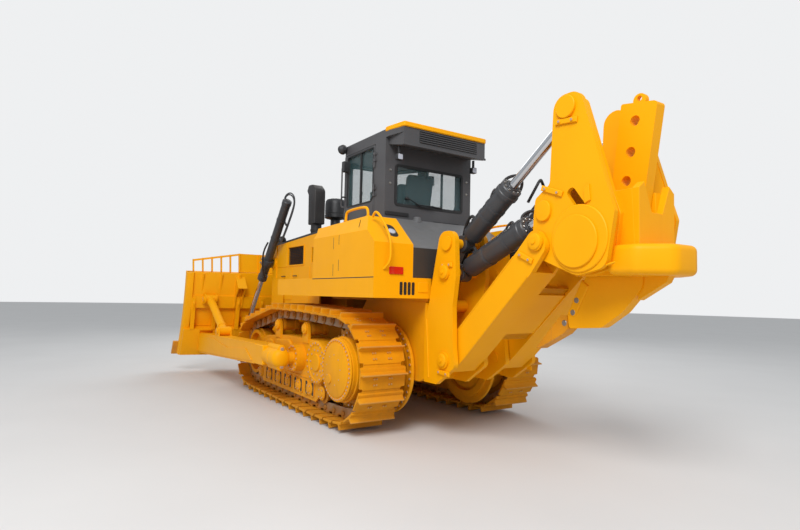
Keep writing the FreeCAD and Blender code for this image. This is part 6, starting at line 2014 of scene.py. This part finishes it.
  def posts(self) -> Skin:
    """Rear post plates with rounded ends and a grab rail beside the door.

    Returns:
      The surface.
    """
    y = self.half
    rail = pipe([(1.235, y - 0.01, 2.98), (1.262, y + 0.03, 2.98), (1.262, y + 0.03, 3.08),
        (1.262, y + 0.03, 3.5), (1.262, y + 0.03, 3.6), (1.235, y - 0.01, 3.6)], 0.012, 10)
    plate = slab(soft_box(0.075, 2.4, 0.3, 2.66, 0.03), y - 0.001, y + 0.008)
    return joined([rail, plate])

  def cushion(self, name: str, low: Point, high: Point, lean: float, bench: Bench) -> None:
    """One seat cushion: a box rounded by powers of sines and cosines, crowned, with two grooves.

    Args:
      name: Name of the piece.
      low: Lowest corner before it is leaned back.
      high: Highest corner.
      lean: Lean backwards about the low rear edge, in radians.
      bench: Where pieces are made.
    """
    low_row, high_row = np.asarray(low, float), np.asarray(high, float)
    middle, half = (low_row + high_row) / 2, (high_row - low_row) / 2
    u = round_angles(40)
    v = np.linspace(-math.pi / 2 + 0.16, math.pi / 2 - 0.16, 16)

    def power(values: Array, share: float) -> Array:
      """Signed power, which squares off a circle."""
      return np.sign(values) * np.abs(values) ** share

    thin = int(np.argmin(half))
    wide = [i for i in range(3) if i != thin]
    grid = np.zeros((len(v), len(u), 3))
    grid[..., wide[0]] = half[wide[0]] * power(np.cos(v), 0.28)[:, None] * power(np.cos(u), 0.32)
    grid[..., wide[1]] = half[wide[1]] * power(np.cos(v), 0.28)[:, None] * power(np.sin(u), 0.32)
    grid[..., thin] = half[thin] * power(np.sin(v), 0.6)[:, None]
    crown = 1.0 + 0.1 * np.cos(np.pi / 2 * grid[..., wide[0]] / half[wide[0]])
    grid[..., thin] *= crown
    groove = 0.012 * np.exp(-((np.abs(grid[..., wide[0]]) - 0.55 * half[wide[0]]) / 0.012) ** 2)
    grid[..., thin] -= np.sign(grid[..., thin]) * groove * (np.abs(np.sin(v)) > 0.4)[:, None]
    points = grid.reshape(-1, 3) + middle
    turn = np.array([[math.cos(lean), 0, -math.sin(lean)], [0, 1, 0], [math.sin(lean), 0, math.cos(lean)]])
    anchor = np.array([low_row[0], 0.0, low_row[2]])
    points = (points - anchor) @ turn.T + anchor
    skin = Skin(points, woven(grid).faces).outward()
    made = bench.put(name, "hull", SEAT_CLOTH, [skin], crease=80.0)
    level = made.modifiers.new("smooth", "SUBSURF")
    level.levels = level.render_levels = 1

  def inside(self, bench: Bench) -> None:
    """Seat with cushions and arm pads, levers, monitor and console top.

    Args:
      bench: Where pieces are made.
    """
    base = joined([
      slab(mm([(470, 2362), (890, 2362), (860, 2660), (920, 2700), (920, 2740), (460, 2740), (400, 2700)]),
        -0.235, 0.235, SIDE, 0.012),
      slab(mm([(385, 2720), (440, 2720), (330, 3360), (275, 3360)]), -0.225, 0.225, SIDE, 0.012),
    ])
    bench.put("seat_shell", "hull", PLASTIC, [base], stands_for=["seat"])
    self.cushion("seat_cushion", (0.46, -0.245, 2.735), (0.95, 0.245, 2.835), 0.0, bench)
    self.cushion("seat_back_cushion", (0.44, -0.24, 2.82), (0.545, 0.24, 3.32), -0.17, bench)
    self.cushion("seat_headrest", (0.355, -0.14, 3.3), (0.43, 0.14, 3.43), -0.17, bench)
    arms = [slab(soft_box(0.44, 2.97, 0.86, 3.02, 0.02), y - 0.04, y + 0.04, SIDE, 0.01)
        for y in (-0.33, 0.33)]
    stands = [slab(soft_box(0.48, 2.362, 0.84, 2.96, 0.03), y - 0.07, y + 0.07, SIDE, 0.01)
        for y in (-0.36, 0.36)]
    levers = []
    for x, y in ((0.78, 0.36), (0.72, -0.36)):
      levers.append(tube([(x, y, 3.0), (x + 0.02, y, 3.12)], 0.009, 8))
      levers.append(lathe(mm([(14, 0), (26, 30), (28, 70), (18, 95)]), (x + 0.02, y, 3.11), (0.1, 0, 1), 16))
    monitor = [slab(soft_box(-0.14, 3.14, 0.14, 3.33, 0.02), 1.46, 1.5, CROSS, 0.006),
        tube([(1.5, 0.0, 3.08), (1.49, 0.0, 3.18)], 0.015, 8)]
    bench.put("cab_controls", "hull", PLASTIC, arms + stands + levers + monitor)

  def build(self, bench: Bench) -> None:
    """Dress the cab.

    Args:
      bench: Where pieces are made.
    """
    bench.paint(CHARCOAL, "cab_frame", "cab_roof")
    bench.paint(GLASS, "cab_glass")
    bench.put("roof_edge_cap", "hull", YELLOW, [self.roof_edge()], stands_for=["roof_cap"])
    bench.paint(PLASTIC, "console")
    bench.put("window_seals", "hull", RUBBER, [self.seals(), self.corner_seals().both()])
    for side in Side:
      ring, pane, seal, handle = self.door_leaf()
      word = side.name.lower()
      body = f"door_{word}"
      bench.put(f"{body}_ring", body, CHARCOAL, [ring.on(side)], stands_for=[body])
      bench.put(f"{body}_pane", body, GLASS, [pane.on(side)], stands_for=[f"door_glass_{word}"])
      bench.put(f"{body}_seal", body, RUBBER, [seal.on(side)])
      bench.put(f"{body}_handle", body, CHARCOAL, [handle.on(side)])
    bench.put("wipers", "hull", RUBBER, [self.wipers()])
    shells, glasses = self.lamps()
    bench.fit("hull", cab_lamp_shells=(PLASTIC, shells), cab_lamp_glass=(LAMP, glasses))
    bench.put("door_post_boxes", "hull", PLASTIC, [self.post_boxes().both()])
    panel, louvres, heads = self.visor()
    bench.fit("hull", visor_vent=(BLACK, panel), visor_ribs=(CHARCOAL, louvres), cab_rear_bolts=(BOLT, heads))
    bench.put("cab_posts_and_rails", "hull", CHARCOAL, [self.posts().both()])
    self.inside(bench)


@dataclass
class Stacks:
  """Exhaust stack and air pre-cleaner."""

  exhaust: Pair = (2.9, 0.43)
  cleaner: Pair = (3.15, -0.07)
  deck: float = 2.684

  def exhaust_pipe(self) -> Skin:
    """Box shield with rolled edges whose top bends forward to a slanting mouth.

    Returns:
      The surface.
    """
    outline = filleted(mm([(2765, 2905, 20), (3035, 2905, 20), (3035, 3430, 80), (3120, 3530, 20),
        (3050, 3630, 20), (2900, 3625, 90), (2765, 3520, 100)]))
    return cushioned(outline, 0.325, 0.535, 0.022, SIDE)

  def build(self, bench: Bench) -> None:
    """Make both stacks in place of their plain solids.

    Args:
      bench: Where pieces are made.
    """
    x, y = self.exhaust
    neck = joined([
      lathe([(0.095, self.deck + 0.004), (0.095, 2.906)], (x, y, 0), UP, 32),
      lathe([(0.108, self.deck + 0.004), (0.108, self.deck + 0.016), (0.1, self.deck + 0.02)], (x, y, 0),
         UP, 32),
      lathe(mm([(96, 2780), (104, 2784), (104, 2816), (96, 2820)]), (x, y, 0), UP, 32),
    ])
    mouth = lathe(mm([(62, 0), (62, 6), (56, 8), (6, 8)]), (3.084, y, 3.579), (0.82, 0, 0.57), 24)
    bench.put("exhaust_shield", "hull", SOOT, [self.exhaust_pipe(), neck], stands_for=["exhaust_stack"])
    bench.put("exhaust_mouth", "hull", BLACK, [mouth])
    cx, cy = self.cleaner
    bowl = joined([
        lathe(mm([(90, 2676), (90, 3060), (120, 3080), (186, 3090), (196, 3100), (196, 3150), (190, 3158),
            (190, 3168), (196, 3176), (195, 3350), (188, 3405), (165, 3440), (120, 3456), (40, 3462)]),
            (cx, cy, 0), UP, 40),
        lathe(mm([(92, 2800), (100, 2804), (100, 2828), (92, 2832)]), (cx, cy, 0), UP, 32)
    ])
    turns = round_angles(20)
    fin = slab(mm([(150, 3078), (199, 3095), (199, 3150), (150, 3140)]), -0.004, 0.004, SIDE, 0.001)
    zero = np.zeros(20)
    frames = np.stack([np.stack([np.cos(turns), np.sin(turns), zero], axis=1),
        np.stack([-np.sin(turns), np.cos(turns), zero], axis=1), np.broadcast_to([0.0, 0.0, 1.0], (20, 3))],
        axis=2)
    fins = fin.copies(np.broadcast_to([cx, cy, 0.0], (20, 3)), frames)
    bench.put("precleaner_bowl", "hull", PLASTIC, [bowl, fins], stands_for=["precleaner"])


@dataclass
class Studio:
  """Floor, light and camera."""

  lens: float = 24.561
  eye: Triple = (-6.0756, 4.4829, 1.6703)
  yaw: float = -0.5788
  pitch: float = 0.0559
  roll: float = 0.0214

  def camera(self) -> None:
    """Camera at the photo's place, its axes turned by yaw, pitch and roll."""
    ahead = np.array([math.cos(self.yaw), math.sin(self.yaw), 0.0])
    right = np.array([math.sin(self.yaw), -math.cos(self.yaw), 0.0])
    top = np.array([0.0, 0.0, 1.0])
    look = math.cos(self.pitch) * ahead + math.sin(self.pitch) * top
    up = -math.sin(self.pitch) * ahead + math.cos(self.pitch) * top
    side = math.cos(self.roll) * right + math.sin(self.roll) * up
    lift = -math.sin(self.roll) * right + math.cos(self.roll) * up
    data = bpy.data.cameras.new("view")
    data.lens, data.sensor_width = self.lens, 36.0
    made = bpy.data.objects.new("view", data)
    bpy.context.scene.collection.objects.link(made)
    matrix = np.eye(4)
    matrix[:3, 0], matrix[:3, 1], matrix[:3, 2] = side, lift, -look
    matrix[:3, 3] = np.array(self.eye) + np.array([SPROCKET_X, 0.0, 0.0])
    made.matrix_world = [list(row) for row in matrix.T]
    bpy.context.scene.camera = made

  def floor(self) -> None:
    """Pale floor with a faint mottle, far enough to meet the backdrop."""
    graph = Graph("pale_floor")
    mottle = graph.noise(0.6, 5.0)
    graph.feed(graph.shader.inputs["Base Color"], graph.mix(mottle, (0.62, 0.61, 0.6), (0.68, 0.67, 0.66)))
    graph.feed(graph.shader.inputs["Roughness"], 0.8 + mottle * 0.1)
    angles = round_angles(96)
    ring = np.stack([np.cos(angles), np.sin(angles), 0 * angles], axis=1) * 70.0 + np.array([0, 0, -0.002])
    mesh = bpy.data.meshes.new("floor")
    mesh.from_pydata(ring.tolist(), [], [list(range(96))])
    mesh.materials.append(graph.material)
    made = bpy.data.objects.new("floor", mesh)
    bpy.context.scene.collection.objects.link(made)

  def light(self) -> None:
    """Soft sky that the camera and rays through glass see as a pale backdrop, a broad key lamp and a fill lamp."""
    world = bpy.data.worlds.new("studio")
    world.use_nodes = True
    bpy.context.scene.world = world
    tree = world.node_tree
    tree.nodes.clear()
    path = tree.nodes.new("ShaderNodeLightPath")
    sky, plain = tree.nodes.new("ShaderNodeBackground"), tree.nodes.new("ShaderNodeBackground")
    sky.inputs[0].default_value, sky.inputs[1].default_value = (0.92, 0.96, 1.0, 1.0), 0.62
    plain.inputs[0].default_value, plain.inputs[1].default_value = (0.86, 0.87, 0.88, 1.0), 1.0
    either = tree.nodes.new("ShaderNodeMath")
    either.operation = "MAXIMUM"
    mixer, end = tree.nodes.new("ShaderNodeMixShader"), tree.nodes.new("ShaderNodeOutputWorld")
    tree.links.new(path.outputs["Is Camera Ray"], either.inputs[0])
    tree.links.new(path.outputs["Is Transmission Ray"], either.inputs[1])
    for source, target in ((either.outputs[0], mixer.inputs[0]), (sky.outputs[0], mixer.inputs[1]),
            (plain.outputs[0], mixer.inputs[2]), (mixer.outputs[0], end.inputs[0])):
      tree.links.new(source, target)
    for name, place, aim, size, power in (("key", (-9.0, 8.0, 11.0), (-0.5, 0.5, 1.2), 6.0, 1500.0),
            ("fill", (9.0, -6.0, 9.0), (0.5, 0.0, 1.2), 9.0, 520.0)):
      data = bpy.data.lights.new(name, "AREA")
      data.size, data.energy = size, power
      made = bpy.data.objects.new(name, data)
      back = unit(np.array(place) - np.array(aim))
      along, across, up = axes_for(back)
      matrix = np.eye(4)
      matrix[:3, 0], matrix[:3, 1], matrix[:3, 2], matrix[:3, 3] = across, up, along, place
      bpy.context.scene.collection.objects.link(made)
      made.matrix_world = [list(row) for row in matrix.T]

  def build(self) -> None:
    """Set up the view."""
    self.camera()
    self.floor()
    self.light()
    bpy.context.scene.view_settings.view_transform = "Standard"


def main() -> None:
  """Dress the machine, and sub-assembly by sub-assembly."""
  logging.basicConfig(level=logging.INFO, format="%(name)s: %(message)s")
  Studio().build()
  bench = Bench()
  tracks = Tracks()
  for side in Side:
    tracks.build(bench, side)
  for group in (RunningGear(), BladeGear(), Ripper(), Bodywork(), Cab(), Stacks()):
    group.build(bench)
    log.info("%s done", type(group).__name__)
  log.info("%d pieces", len(bench.made))


if __name__ == "__main__":
  main()
